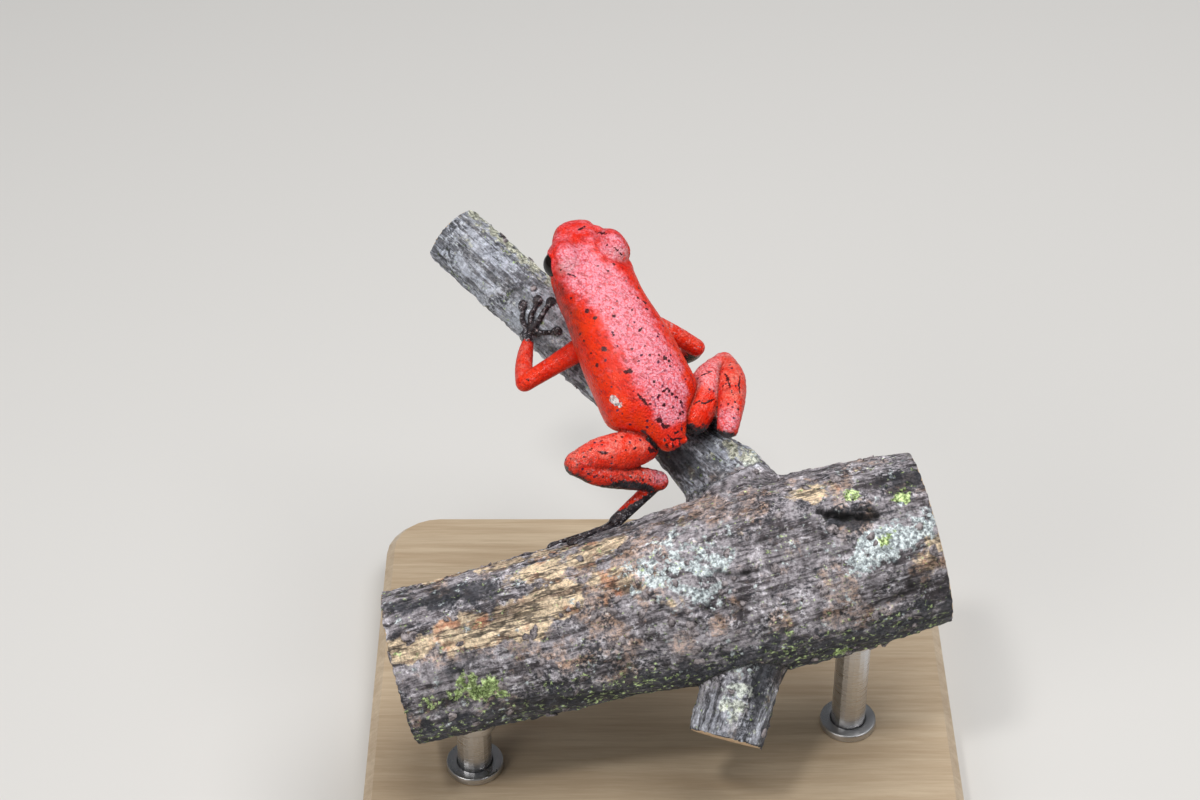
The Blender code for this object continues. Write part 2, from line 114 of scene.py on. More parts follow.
def smoothLine(values, steps):
    # a smooth curve through the values, with so many steps between two of them
    values = np.asarray(values, float)
    last = len(values) - 1
    found = []
    for i in range(last):
        a, b, c, d = values[max(i - 1, 0)], values[i], values[i + 1], values[min(i + 2, last)]
        for k in range(steps):
            t = k / steps
            bend = (2 * a - 5 * b + 4 * c - d) * t ** 2 + (3 * b - a - 3 * c + d) * t ** 3
            found.append((2 * b + (c - a) * t + bend) / 2)
    found.append(values[-1])
    return np.array(found)


def unit(vector):
    return vector / np.maximum(np.linalg.norm(vector, axis=-1, keepdims=True), 1e-9)


def ramp(low, high, values):
    # 0 below low, 1 above high, smooth between them
    part = np.clip((values - low) / (high - low), 0, 1)
    return part * part * (3 - 2 * part)


def bell(values, middle, width):
    # 1 at the middle, falling off smoothly to either side
    return np.exp(-((values - middle) / width) ** 2)


def gapTo(points, place):
    return np.linalg.norm(points - np.asarray(place, float), axis=1)


def loft(rings, first, last):
    # closed shell through rings of points, with a point at either end
    rings = np.asarray(rings)
    count, sides = rings.shape[:2]
    points = np.vstack([rings.reshape(-1, 3), [first], [last]])
    faces = []
    for i in range(count - 1):
        for j in range(sides):
            k = (j + 1) % sides
            faces.append((i * sides + j, i * sides + k, (i + 1) * sides + k, (i + 1) * sides + j))
    end = (count - 1) * sides
    for j in range(sides):
        k = (j + 1) % sides
        faces.append((k, j, count * sides))
        faces.append((end + j, end + k, count * sides + 1))
    return points, faces


def rod(path, radii, up, sides=20, steps=5, rounded=True):
    # rod of changing thickness along a smooth path, its ends rounded or cut flat
    path = smoothLine(path, steps)
    radii = smoothLine(radii, steps)
    ups = smoothLine(up, steps) if np.ndim(up) == 2 else np.tile(np.asarray(up, float), (len(path), 1))
    ahead = unit(np.gradient(path, axis=0))
    side = unit(np.cross(ahead, ups))
    ups = np.cross(side, ahead)
    if rounded:
        bow = np.radians((25, 48, 70))
        first = path[0] - ahead[0] * radii[0] * np.sin(bow[::-1, None])
        last = path[-1] + ahead[-1] * radii[-1] * np.sin(bow[:, None])
        path = np.vstack([first, path, last])
        radii = np.concatenate([radii[0] * np.cos(bow[::-1]), radii, radii[-1] * np.cos(bow)])
        ahead, side, ups = (np.vstack([[a[0]] * 3, a, [a[-1]] * 3]) for a in (ahead, side, ups))
    turns = np.linspace(0, 2 * math.pi, sides, endpoint=False)
    across = np.cos(turns)[None, :, None] * side[:, None] + np.sin(turns)[None, :, None] * ups[:, None]
    rings = path[:, None] + across * radii[:, None, None]
    tip = 0.12 if rounded else 0.0
    return loft(rings, path[0] - ahead[0] * radii[0] * tip, path[-1] + ahead[-1] * radii[-1] * tip)


def egg(centre, axes, sizes, around=32, down=18):
    # ellipsoid with three half sizes along three directions
    turns = np.linspace(0, 2 * math.pi, around, endpoint=False)
    rows = []
    for k in range(1, down):
        angle = math.pi * k / down
        low, high = math.sin(angle), math.cos(angle)
        rows.append(np.stack([np.cos(turns) * low, np.sin(turns) * low, np.full(around, high)], 1))
    shape = np.array(rows) * np.asarray(sizes) @ np.asarray(axes)
    pole = np.asarray(axes)[2] * sizes[2]
    return loft(shape + centre, centre + pole, centre - pole)


def solid(name, shells):
    points, faces, start = [], [], 0
    for shellPoints, shellFaces in shells:
        points.append(shellPoints)
        faces += [tuple(start + i for i in face) for face in shellFaces]
        start += len(shellPoints)
    mesh = bpy.data.meshes.new(name)
    mesh.from_pydata(np.vstack(points).tolist(), [], faces)
    obj = bpy.data.objects.new(name, mesh)
    world.collection.objects.link(obj)
    return obj


def settle(obj):
    # turn the modifiers into a plain mesh
    graph = bpy.context.evaluated_depsgraph_get()
    mesh = bpy.data.meshes.new_from_object(obj.evaluated_get(graph))
    obj.modifiers.clear()
    old = obj.data
    obj.data = mesh
    bpy.data.meshes.remove(old)
    return obj


def fuse(obj, voxel):
    # one skin round all the shells
    remesh = obj.modifiers.new("oneSkin", "REMESH")
    remesh.mode = "VOXEL"
    remesh.voxel_size = voxel
    return settle(obj)


def soften(obj, weights, repeats):
    group = obj.vertex_groups.new(name="soft")
    for level in range(1, 9):
        chosen = np.nonzero(np.round(weights * 8) == level)[0]
        if len(chosen):
            group.add(chosen.tolist(), level / 8, "REPLACE")
    smoother = obj.modifiers.new("soften", "SMOOTH")
    smoother.factor = 0.5
    smoother.iterations = repeats
    smoother.vertex_group = "soft"
    settle(obj)
    obj.vertex_groups.clear()


def outward(obj):
    bm = bmesh.new()
    bm.from_mesh(obj.data)
    bmesh.ops.remove_doubles(bm, verts=bm.verts, dist=0.00001)
    bmesh.ops.recalc_face_normals(bm, faces=bm.faces)
    bm.to_mesh(obj.data)
    bm.free()


def pointsOf(obj):
    points = np.empty(len(obj.data.vertices) * 3, np.float32)
    obj.data.vertices.foreach_get("co", points)
    return points.reshape(-1, 3).astype(float)


def normalsOf(obj):
    normals = np.empty(len(obj.data.vertices) * 3, np.float32)
    obj.data.vertex_normals.foreach_get("vector", normals)
    return normals.reshape(-1, 3).astype(float)


def movePoints(obj, points):
    obj.data.vertices.foreach_set("co", points.astype(np.float32).ravel())
    obj.data.update()


def treeOf(obj):
    # search tree of a piece's surface
    return BVHTree.FromPolygons(pointsOf(obj).tolist(), [tuple(p.vertices) for p in obj.data.polygons])


def distanceTo(points, path):
    # distance to a line of points, and the share of the line's length at the nearest place
    path = np.asarray(path, float)
    best = np.full(len(points), 1e9)
    where = np.zeros(len(points))
    for i in range(len(path) - 1):
        step = path[i + 1] - path[i]
        part = np.clip((points - path[i]) @ step / (step @ step), 0, 1)
        gap = gapTo(points - part[:, None] * step, path[i])
        closer = gap < best
        best[closer] = gap[closer]
        where[closer] = ((i + part) / (len(path) - 1))[closer]
    return best, where


def lumps(points, size, shift=0.0):
    # smooth noise with lumps of about this size
    return np.array([noise.noise(p) for p in (points / size + shift).tolist()])


def keep(obj, name, values):
    # store one value or one vector per point for the materials
    values = np.asarray(values, np.float32)
    kind = "FLOAT" if values.ndim == 1 else "FLOAT_VECTOR"
    layer = obj.data.attributes.new(name, kind, "POINT")
    layer.data.foreach_set("value" if values.ndim == 1 else "vector", values.ravel())


def spots(points, places):
    # 1 inside round spots given as x, y, z and radius
    found = np.zeros(len(points))
    for x, y, z, radius in places:
        found = np.maximum(found, 1 - ramp(radius * 0.75, radius * 1.25, gapTo(points, (x, y, z))))
    return found


def finishPiece(obj, materials, replaced=()):
    obj.data.transform(Matrix.Scale(toMetres, 4))
    obj.data.shade_smooth()
    for i, material in enumerate(materials):
        if i < len(obj.data.materials):
            obj.data.materials[i] = material
        else:
            obj.data.materials.append(material)
    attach(obj, rootBody)
    if replaced:
        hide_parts(*replaced)


# Small tools for materials

def put(tree, kind, inputs=None, **settings):
    # a new node with its settings, and with values or links in its inputs
    node = tree.nodes.new(kind)
    for key, value in settings.items():
        setattr(node, key, value)
    for key, value in (inputs or {}).items():
        if isinstance(value, bpy.types.NodeSocket):
            tree.links.new(value, node.inputs[key])
        else:
            node.inputs[key].default_value = value
    return node


def math2(tree, operation, first, second=0.0, clamp=False):
    return put(tree, "ShaderNodeMath", {0: first, 1: second}, operation=operation, use_clamp=clamp).outputs[0]


def times(tree, first, second):
    return math2(tree, "MULTIPLY", first, second)


def lessOne(tree, value):
    return math2(tree, "SUBTRACT", 1.0, value)


def between(tree, value, low, high, first=0.0, second=1.0):
    # a smooth step from the first value to the second
    inputs = {"Value": value, "From Min": low, "From Max": high, "To Min": first, "To Max": second}
    return put(tree, "ShaderNodeMapRange", inputs, interpolation_type="SMOOTHSTEP").outputs[0]


def colour(red, green, blue):
    return (red, green, blue, 1.0)


def blendColours(tree, factor, first, second, mode="MIX"):
    inputs = {0: factor, 6: first, 7: second}
    return put(tree, "ShaderNodeMix", inputs, data_type="RGBA", blend_type=mode).outputs[2]


def coat(tree, under, mask, amount, over):
    # one colour over another, as strong as the mask times the amount
    return blendColours(tree, times(tree, mask, amount), under, over)


def toned(tree, tint, value, amount=1.0):
    # a colour multiplied by a grey
    grey = put(tree, "ShaderNodeCombineColor", {0: value, 1: value, 2: value}).outputs[0]
    return blendColours(tree, amount, tint, grey, "MULTIPLY")


def rawNoise(tree, place, scale, detail, rough=0.5, bend=0.0, output=0):
    inputs = {"Vector": place, "Scale": scale, "Detail": detail, "Roughness": rough, "Distortion": bend}
    return put(tree, "ShaderNodeTexNoise", inputs).outputs[output]


def cloud(tree, place, size, seed=0.0, detail=4.0, rough=0.6, bend=0.0):
    # soft noise with lumps of about this size
    inputs = {"Vector": place, "Scale": 1 / size, "W": seed, "Detail": detail, "Roughness": rough,
              "Distortion": bend}
    return put(tree, "ShaderNodeTexNoise", inputs, noise_dimensions="4D").outputs[0]


def blotches(tree, place, size, low, high, seed=0.0, detail=4.0, rough=0.6, bend=0.0):
    # the same noise as a mask, 0 at the low level and 1 at the high one
    return between(tree, cloud(tree, place, size, seed, detail, rough, bend), low, high)


def stored(tree, name, output="Fac"):
    return put(tree, "ShaderNodeAttribute", attribute_name=name).outputs[output]


def stretched(tree, place, scale):
    return put(tree, "ShaderNodeMapping", {"Vector": place, "Scale": scale}).outputs[0]


def millimetres(tree):
    # the object's own coordinates in millimetres
    place = put(tree, "ShaderNodeTexCoord").outputs["Object"]
    return put(tree, "ShaderNodeVectorMath", {0: place, "Scale": 1 / toMetres}, operation="SCALE").outputs[0]


def bump(tree, height, distance, normal=None, strength=1.0):
    inputs = {"Height": height, "Distance": distance, "Strength": strength}
    if normal is not None:
        inputs["Normal"] = normal
    return put(tree, "ShaderNodeBump", inputs).outputs[0]


def newMaterial(name, **values):
    material = bpy.data.materials.new(name)
    material.use_nodes = True
    tree = material.node_tree
    shader = tree.nodes["Principled BSDF"]
    for key, value in values.items():
        shader.inputs[key.replace("_", " ")].default_value = value
    return material, tree, shader


def connect(tree, shader, **sockets):
    for key, socket in sockets.items():
        tree.links.new(socket, shader.inputs[key.replace("_", " ")])


def newGroup(name, inputs, outputs):
    group = bpy.data.node_groups.new(name, "ShaderNodeTree")
    for title, kind, start in inputs:
        socket = group.interface.new_socket(name=title, in_out="INPUT", socket_type="NodeSocket" + kind)
        if start is not None:
            socket.default_value = start
    for title in outputs:
        group.interface.new_socket(name=title, in_out="OUTPUT", socket_type="NodeSocketFloat")
    return group, group.nodes.new("NodeGroupInput").outputs, group.nodes.new("NodeGroupOutput").inputs


def useGroup(tree, group, **inputs):
    return put(tree, "ShaderNodeGroup", inputs, node_tree=group).outputs


def makeRaggedGroup():
    # turns a soft stored mask into a patch with a ragged edge
    inputs = [("Place", "Vector", None), ("Mask", "Float", 0.5), ("Size", "Float", 1.0),
              ("Raggedness", "Float", 0.8), ("Edge", "Float", 0.08)]
    group, given, out = newGroup("raggedPatch", inputs, ["Patch"])
    fine = rawNoise(group, given["Place"], math2(group, "DIVIDE", 1.0, given["Size"]), 4.0, 0.62)
    swing = times(group, math2(group, "SUBTRACT", fine, 0.5), given["Raggedness"])
    total = math2(group, "ADD", given["Mask"], times(group, swing, 2.0))
    low = math2(group, "SUBTRACT", 0.5, given["Edge"])
    high = math2(group, "ADD", 0.5, given["Edge"])
    group.links.new(between(group, total, low, high), out["Patch"])
    return group


def makeFibreGroup():
    # streaks that run along the first direction, with a height for bumps
    inputs = [("Place", "Vector", None), ("Width", "Float", 0.4), ("Stretch", "Float", 8.0)]
    group, given, out = newGroup("fibreGrain", inputs, ["Streaks", "Height"])
    across = math2(group, "DIVIDE", 1.0, given["Width"])
    along = math2(group, "DIVIDE", across, given["Stretch"])
    squeeze = put(group, "ShaderNodeCombineXYZ", {"X": along, "Y": across, "Z": across}).outputs[0]
    both = {0: given["Place"], 1: squeeze}
    place = put(group, "ShaderNodeVectorMath", both, operation="MULTIPLY").outputs[0]
    broad = rawNoise(group, place, 0.35, 3.0, 0.55)
    fine = rawNoise(group, place, 1.0, 5.0, 0.68, 0.4)
    streaks = math2(group, "ADD", times(group, broad, 0.45), times(group, fine, 0.55))
    group.links.new(between(group, streaks, 0.32, 0.68), out["Streaks"])
    group.links.new(fine, out["Height"])
    return group


def makeSpeckleGroup():
    # scattered small grains, their tone and their height
    inputs = [("Place", "Vector", None), ("Size", "Float", 0.2)]
    group, given, out = newGroup("fineGrains", inputs, ["Tone", "Height"])
    scale = math2(group, "DIVIDE", 1.0, given["Size"])
    cells = put(group, "ShaderNodeTexVoronoi", {"Vector": given["Place"], "Scale": scale}, feature="F1")
    gap = times(group, cells.outputs["Distance"], 1.25)
    dome = math2(group, "SUBTRACT", 1.0, gap, clamp=True)
    group.links.new(rawNoise(group, given["Place"], scale, 3.0, 0.6), out["Tone"])
    group.links.new(math2(group, "POWER", dome, 0.7), out["Height"])
    return group


raggedPatch = makeRaggedGroup()
fibreGrain = makeFibreGroup()
fineGrains = makeSpeckleGroup()


def patch(tree, place, name, size, ragged, edge):
    # ragged patch from a mask stored on the piece
    inputs = {"Place": place, "Mask": stored(tree, name), "Size": size, "Raggedness": ragged, "Edge": edge}
    return useGroup(tree, raggedPatch, **inputs)["Patch"]


skinTones = {
    "red": colour(0.90, 0.040, 0.022), "deepRed": colour(0.80, 0.018, 0.008),
    "orange": colour(0.92, 0.041, 0.0004), "deepOrange": colour(0.82, 0.020, 0.0004),
    "rose": colour(0.98, 0.40, 0.50), "deepRose": colour(0.88, 0.18, 0.24),
    "paleRose": colour(1.0, 0.66, 0.72), "mauve": colour(0.50, 0.09, 0.17),
    "salmon": colour(0.97, 0.33, 0.27), "deepSalmon": colour(0.88, 0.15, 0.10),
    "rimLight": colour(0.92, 0.13, 0.02), "crease": colour(0.44, 0.008, 0.010),
    "speck": colour(0.055, 0.006, 0.012), "pepper": colour(0.10, 0.010, 0.045),
    "stainAndShade": colour(0.13, 0.016, 0.012), "glint": colour(0.60, 0.58, 0.63),
    "soot": colour(0.010, 0.009, 0.012), "paleSoot": colour(0.060, 0.058, 0.068),
    "crust": colour(0.85, 0.79, 0.78), "dirtyCrust": colour(0.25, 0.21, 0.22),
}
skinLook = {
    # sizes of the patterns
    "grain": 0.18,
    "tint": 1.4,
    "mottle": 0.34,
    "dot": 0.24,
    "spark": 0.20,
    "crease": 0.28,
    "wrinkle": 0.36,
    "pepperPerMillimetre": 2.6,
    "network": 0.50,
    # how the wrinkles slant across the back, and how long they are for their width
    "slant": (0, 0.29, -0.54),
    "stretch": 2.6,
    # strengths of the layers of colour
    "mauveDots": 0.55,
    "paleSparks": 0.75,
    "seams": 0.34,
    "creasesOnBody": 0.60,
    "creasesOnLimbs": 0.30,
    "shine": 0.55,
    "rumpNetwork": 0.85,
    "stainAndShade": 0.75,
    "wetGlint": 0.6,
}


def skinGround(tree, place, grains):
    # red head and limbs, orange flanks, and the pink band down the back, partly the skin's own pink and
    # partly a painted sheen of sky light
    tones, look = skinTones, skinLook
    tint = blotches(tree, place, look["tint"], 0.35, 0.65, 1.0, 3.0)
    red = blendColours(tree, tint, tones["red"], tones["deepRed"])
    orange = blendColours(tree, tint, tones["orange"], tones["deepOrange"])
    skin = blendColours(tree, stored(tree, "flank"), red, orange)
    # painted highlight and shade on the grains: their tops paler, the seams between them darker
    domes = between(tree, grains["Height"], 0.15, 0.75)
    broad = blotches(tree, place, look["mottle"], 0.34, 0.66, 3.0, 5.0, 0.7)
    mottled = math2(tree, "ADD", times(tree, domes, 0.45), times(tree, broad, 0.55))
    onLimb = stored(tree, "limb")
    deep = blendColours(tree, onLimb, tones["deepRose"], tones["deepSalmon"])
    rosy = blendColours(tree, mottled, deep, blendColours(tree, onLimb, tones["rose"], tones["salmon"]))
    dots = blotches(tree, place, look["dot"], 0.58, 0.68, 21.0, 2.0)
    rosy = coat(tree, rosy, dots, look["mauveDots"], tones["mauve"])
    # painted glints: small pale specks over the pink band
    sparks = blotches(tree, place, look["spark"], 0.60, 0.68, 31.0, 2.0)
    rosy = coat(tree, rosy, sparks, look["paleSparks"], tones["paleRose"])
    # the pink band, partly the skin's own pink and partly a painted sheen of sky light
    band = patch(tree, place, "pinkAndSheen", 0.8, 0.80, 0.46)
    skin = coat(tree, skin, band, between(tree, domes, 0.0, 0.6, 0.72, 1.0), rosy)
    # painted rim light along the lower edge of the left flank
    skin = blendColours(tree, stored(tree, "rimLight"), skin, tones["rimLight"])
    # painted shade in the seams between the grains
    seams = lessOne(tree, between(tree, grains["Height"], 0.02, 0.30))
    return coat(tree, skin, seams, look["seams"], tones["deepRed"]), band, onLimb


def skinPepper(tree, place, skin, band):
    # random black pepper, denser towards the rump, and the placed specks and lines
    tones, look = skinTones, skinLook
    wander = rawNoise(tree, place, 2.0, 2.0, output="Color")
    bent = put(tree, "ShaderNodeMix", {0: 0.20, 4: place, 5: wander}, data_type="VECTOR").outputs[1]
    cells = {"Vector": bent, "Scale": look["pepperPerMillimetre"]}
    seeds = put(tree, "ShaderNodeTexVoronoi", cells, feature="F1").outputs
    chance = put(tree, "ShaderNodeSeparateColor", {0: seeds["Color"]}).outputs
    size = between(tree, chance[0], 0.2, 1.0, 0.06, 0.30)
    dot = between(tree, math2(tree, "SUBTRACT", size, seeds["Distance"]), -0.02, 0.06)
    peppered = stored(tree, "peppered")
    allowed = math2(tree, "GREATER_THAN", chance[1], lessOne(tree, times(tree, peppered, 0.8)))
    skin = coat(tree, skin, dot, allowed, tones["pepper"])
    network = blotches(tree, bent, look["network"], 0.585, 0.635, 9.0, 3.0, 0.55, 1.2)
    rumpward = times(tree, between(tree, peppered, 0.55, 1.0), band)
    skin = coat(tree, skin, network, times(tree, rumpward, look["rumpNetwork"]), tones["pepper"])
    return blendColours(tree, patch(tree, place, "speck", 0.15, 1.25, 0.24), skin, tones["speck"])


def frogSkinMaterial():
    tones, look = skinTones, skinLook
    material, tree, shader = newMaterial("frogSkin", Roughness=0.36, Coat_Weight=0.24, Coat_Roughness=0.10,
                                         Specular_IOR_Level=0.28, Specular_Tint=colour(1.0, 0.55, 0.42))
    place = millimetres(tree)
    grains = useGroup(tree, fineGrains, Place=place, Size=look["grain"])
    skin, band, onLimb = skinGround(tree, place, grains)
    slanting = {"Vector": place, "Rotation": look["slant"], "Scale": (look["stretch"], 1.0, 1.0)}
    slanted = put(tree, "ShaderNodeMapping", slanting, vector_type="TEXTURE").outputs[0]
    creases = blotches(tree, slanted, look["crease"], 0.47, 0.37, 17.0, 3.0)
    creased = between(tree, onLimb, 0.0, 1.0, look["creasesOnBody"], look["creasesOnLimbs"])
    skin = coat(tree, skin, creases, creased, tones["crease"])
    # painted highlight: a pale crescent on the back of each lid dome
    skin = coat(tree, skin, stored(tree, "shine"), look["shine"], tones["paleRose"])
    skin = skinPepper(tree, place, skin, band)

    # painted shade in the folds, black hands and feet with painted shade on the undersides, painted wet
    # glints, pale flecks
    # painted shade in the folds between parts, in the grooves of the face and down the left side of the neck
    skin = blendColours(tree, stored(tree, "fold"), skin, tones["stainAndShade"])
    # dark red edge round the black and the painted shade
    skin = coat(tree, skin, patch(tree, place, "blackAndShade", 0.42, 1.3, 0.42), look["stainAndShade"], tones["stainAndShade"])
    blackAndShade = patch(tree, place, "blackAndShade", 0.30, 1.25, 0.20)
    sooty = blendColours(tree, blotches(tree, place, 0.6, 0.35, 0.65, 5.0), tones["soot"], tones["paleSoot"])
    skin = blendColours(tree, blackAndShade, skin, sooty)
    # painted wet glints
    wetGlint = times(tree, blotches(tree, place, 0.30, 0.56, 0.66, 13.0, 3.0), stored(tree, "wetGlint"))
    skin = coat(tree, skin, wetGlint, look["wetGlint"], tones["glint"])
    dirt = blotches(tree, place, 0.25, 0.38, 0.55, 8.0)
    crust = blendColours(tree, dirt, tones["dirtyCrust"], tones["crust"])
    skin = blendColours(tree, patch(tree, place, "fleck", 0.3, 0.7, 0.10), skin, crust)

    rough = between(tree, cloud(tree, place, 0.35, 2.0), 0.3, 0.7, 0.30, 0.50)
    rough = put(tree, "ShaderNodeMix", {0: blackAndShade, 2: rough, 3: 0.20}, data_type="FLOAT").outputs[0]
    wrinkles = cloud(tree, slanted, look["wrinkle"], 4.0, 4.0, 0.6, 0.6)
    normal = bump(tree, wrinkles, 0.00010, bump(tree, grains["Height"], 0.00008, strength=0.9), 0.6)
    connect(tree, shader, Base_Color=skin, Roughness=rough, Normal=normal,
            Coat_Normal=bump(tree, wrinkles, 0.00016, strength=0.8))
    return material


barkTones = {
    "dark": colour(0.070, 0.060, 0.066), "main": colour(0.40, 0.37, 0.40), "light": colour(0.80, 0.77, 0.83),
    "warm": colour(0.62, 0.40, 0.27), "charAndShade": colour(0.028, 0.032, 0.042), "russet": colour(0.56, 0.20, 0.10),
    "bareDark": colour(0.26, 0.18, 0.13), "bareLight": colour(0.92, 0.73, 0.50),
    "lichenDark": colour(0.35, 0.40, 0.43), "lichenLight": colour(0.71, 0.79, 0.80),
    "mossDark": colour(0.22, 0.31, 0.10), "mossLight": colour(0.74, 0.92, 0.44),
}
twigTones = {
    "dark": colour(0.14, 0.145, 0.165), "main": colour(0.48, 0.51, 0.59), "light": colour(0.72, 0.76, 0.84),
    "warm": colour(0.40, 0.34, 0.28), "charAndShade": colour(0.040, 0.042, 0.050), "russet": colour(0.34, 0.18, 0.10),
    "bareDark": colour(0.20, 0.14, 0.09), "bareLight": colour(0.60, 0.50, 0.36),
    "lichenDark": colour(0.36, 0.37, 0.28), "lichenLight": colour(0.74, 0.75, 0.62),
    "mossDark": colour(0.06, 0.10, 0.015), "mossLight": colour(0.46, 0.62, 0.16),
}
# Ragged patches on the bark: size, raggedness, softness of the edge, strength.
barkPatches = {
    "peel": (2.2, 1.3, 0.14, 0.9),
    "charAndShade": (1.3, 1.1, 0.22, 0.85),
    "lichen": (0.9, 1.5, 0.16, 0.92),
    "moss": (0.5, 1.4, 0.20, 1.0),
}


def barkGround(tree, place, tones, onTwig, fibre, fine):
    # mosaic of dark, lilac grey and pale crusts with warm and blue-black areas
    mottle = between(tree, onTwig, 0.0, 1.0, 0.66, 0.35)
    coarse = times(tree, cloud(tree, place, 1.5, 2.0, 6.0, 0.66, 0.5), mottle)
    blended = math2(tree, "ADD", coarse, times(tree, fibre["Streaks"], lessOne(tree, mottle)))
    bark = blendColours(tree, between(tree, blended, 0.37, 0.58), tones["dark"], tones["main"])
    pale = blotches(tree, place, 1.1, 0.50, 0.64, 4.0, 5.0, 0.7)
    pale = times(tree, pale, between(tree, fine, 0.38, 0.62))
    bark = coat(tree, bark, pale, 0.8, tones["light"])
    warm = blotches(tree, place, 3.6, 0.51, 0.59, 6.0, 5.0, 0.62)
    warm = times(tree, warm, between(tree, fine, 0.36, 0.58))
    bark = coat(tree, bark, warm, between(tree, onTwig, 0.0, 1.0, 0.50, 0.12), tones["warm"])
    night = blotches(tree, place, 3.0, 0.52, 0.60, 8.0, 5.0, 0.62)
    night = times(tree, night, between(tree, fine, 0.62, 0.40))
    clean = stored(tree, "clean")
    bark = coat(tree, bark, night, between(tree, clean, 0.0, 1.0, 0.85, 0.0), tones["charAndShade"])
    bark = coat(tree, bark, clean, 0.35, tones["light"])

    # pale dashes and dark slits along the fibres
    drawn = stretched(tree, place, (0.28, 1.0, 1.0))
    dashes = times(tree, blotches(tree, drawn, 0.34, 0.56, 0.66, 14.0),
                   blotches(tree, place, 2.6, 0.42, 0.58, 15.0, 3.0))
    bark = coat(tree, bark, dashes, 0.7, tones["light"])
    return coat(tree, bark, blotches(tree, drawn, 0.26, 0.42, 0.34, 16.0), 0.75, tones["charAndShade"])


def bareWood(tree, place, tones, fibre):
    # wood without its bark, with russet stains and long dark cracks
    streaks = between(tree, fibre["Streaks"], 0.05, 0.62)
    bare = blendColours(tree, streaks, tones["bareDark"], tones["bareLight"])
    bare = coat(tree, bare, blotches(tree, place, 2.4, 0.52, 0.62, 11.0), 0.65, tones["russet"])
    veins = cloud(tree, stretched(tree, place, (0.14, 1.0, 1.0)), 0.9, 12.0)
    crack = times(tree, between(tree, veins, 0.455, 0.495), between(tree, veins, 0.545, 0.505))
    return toned(tree, bare, between(tree, crack, 0.0, 1.0, 1.0, 0.14), 0.9)


def barkMaterial():
    material, tree, shader = newMaterial("bark", Roughness=0.8, Specular_IOR_Level=0.35)
    place = stored(tree, "fibre", "Vector")
    onTwig = stored(tree, "twigShare")
    tones = {key: blendColours(tree, onTwig, barkTones[key], twigTones[key]) for key in barkTones}
    fibre = useGroup(tree, fibreGrain, Place=place, Width=0.40, Stretch=9.0)
    grains = useGroup(tree, fineGrains, Place=place, Size=0.26)
    fine = cloud(tree, place, 0.32, 1.0, 5.0, 0.7)
    bark = barkGround(tree, place, tones, onTwig, fibre, fine)
    crumbly = between(tree, fine, 0.38, 0.60)
    over = {
        "peel": bareWood(tree, place, tones, fibre),
        "charAndShade": tones["charAndShade"],
        "lichen": blendColours(tree, crumbly, tones["lichenDark"], tones["lichenLight"]),
        "moss": blendColours(tree, crumbly, tones["mossDark"], tones["mossLight"]),
    }
    for name, (size, ragged, edge, strength) in barkPatches.items():
        bark = coat(tree, bark, patch(tree, place, name, size, ragged, edge), strength, over[name])
    bark = toned(tree, bark, between(tree, fine, 0.30, 0.66, 0.45, 1.45))
    # painted shade in the hollows of the bark, a little lighter on its ridges
    bark = toned(tree, bark, between(tree, stored(tree, "relief"), -0.32, 0.15, 0.12, 1.12))
    normal = bump(tree, fine, 0.00022, bump(tree, fibre["Height"], 0.00020, strength=0.7), 0.9)
    connect(tree, shader, Base_Color=bark, Roughness=between(tree, fine, 0.3, 0.7, 0.60, 0.92),
            Normal=bump(tree, grains["Height"], 0.00008, normal, 0.6))
    return material


cutTones = {
    "early": colour(0.62, 0.44, 0.27),
    "late": colour(0.42, 0.26, 0.14),
    "pale": colour(0.72, 0.56, 0.38),
}


def cutWoodMaterial():
    # yearly rings round the middle of each stick
    material, tree, shader = newMaterial("cutWood", Roughness=0.75, Specular_IOR_Level=0.3)
    split = put(tree, "ShaderNodeSeparateXYZ", {0: stored(tree, "fibre", "Vector")}).outputs
    flat = put(tree, "ShaderNodeCombineXYZ", {"Y": split["Y"], "Z": split["Z"]}).outputs[0]
    wobble = times(tree, rawNoise(tree, flat, 0.35, 3.0), 1.6)
    reach = put(tree, "ShaderNodeVectorMath", {0: flat}, operation="LENGTH").outputs["Value"]
    rings = math2(tree, "SINE", times(tree, math2(tree, "ADD", reach, wobble), 8.5))
    fine = useGroup(tree, fineGrains, Place=flat, Size=0.16)
    wood = blendColours(tree, between(tree, rings, -0.4, 1.0), cutTones["early"], cutTones["late"])
    connect(tree, shader, Base_Color=coat(tree, wood, fine["Tone"], 0.5, cutTones["pale"]),
            Normal=bump(tree, fine["Height"], 0.00006, strength=0.6))
    return material


baseTones = {
    "dark": colour(0.50, 0.37, 0.24),
    "light": colour(0.68, 0.55, 0.39),
    "pore": colour(0.36, 0.25, 0.15),
}


def baseWoodMaterial():
    material, tree, shader = newMaterial("baseWood", Roughness=0.42, Coat_Weight=0.25, Coat_Roughness=0.2)
    place = millimetres(tree)
    fibre = useGroup(tree, fibreGrain, Place=place, Width=0.9, Stretch=14.0)
    fine = useGroup(tree, fibreGrain, Place=place, Width=0.18, Stretch=22.0)
    wood = blendColours(tree, fibre["Streaks"], baseTones["dark"], baseTones["light"])
    connect(tree, shader, Base_Color=coat(tree, wood, fine["Streaks"], 0.35, baseTones["pore"]),
            Roughness=between(tree, fine["Height"], 0.3, 0.7, 0.36, 0.5),
            Normal=bump(tree, fine["Height"], 0.00003, strength=0.5))
    return material


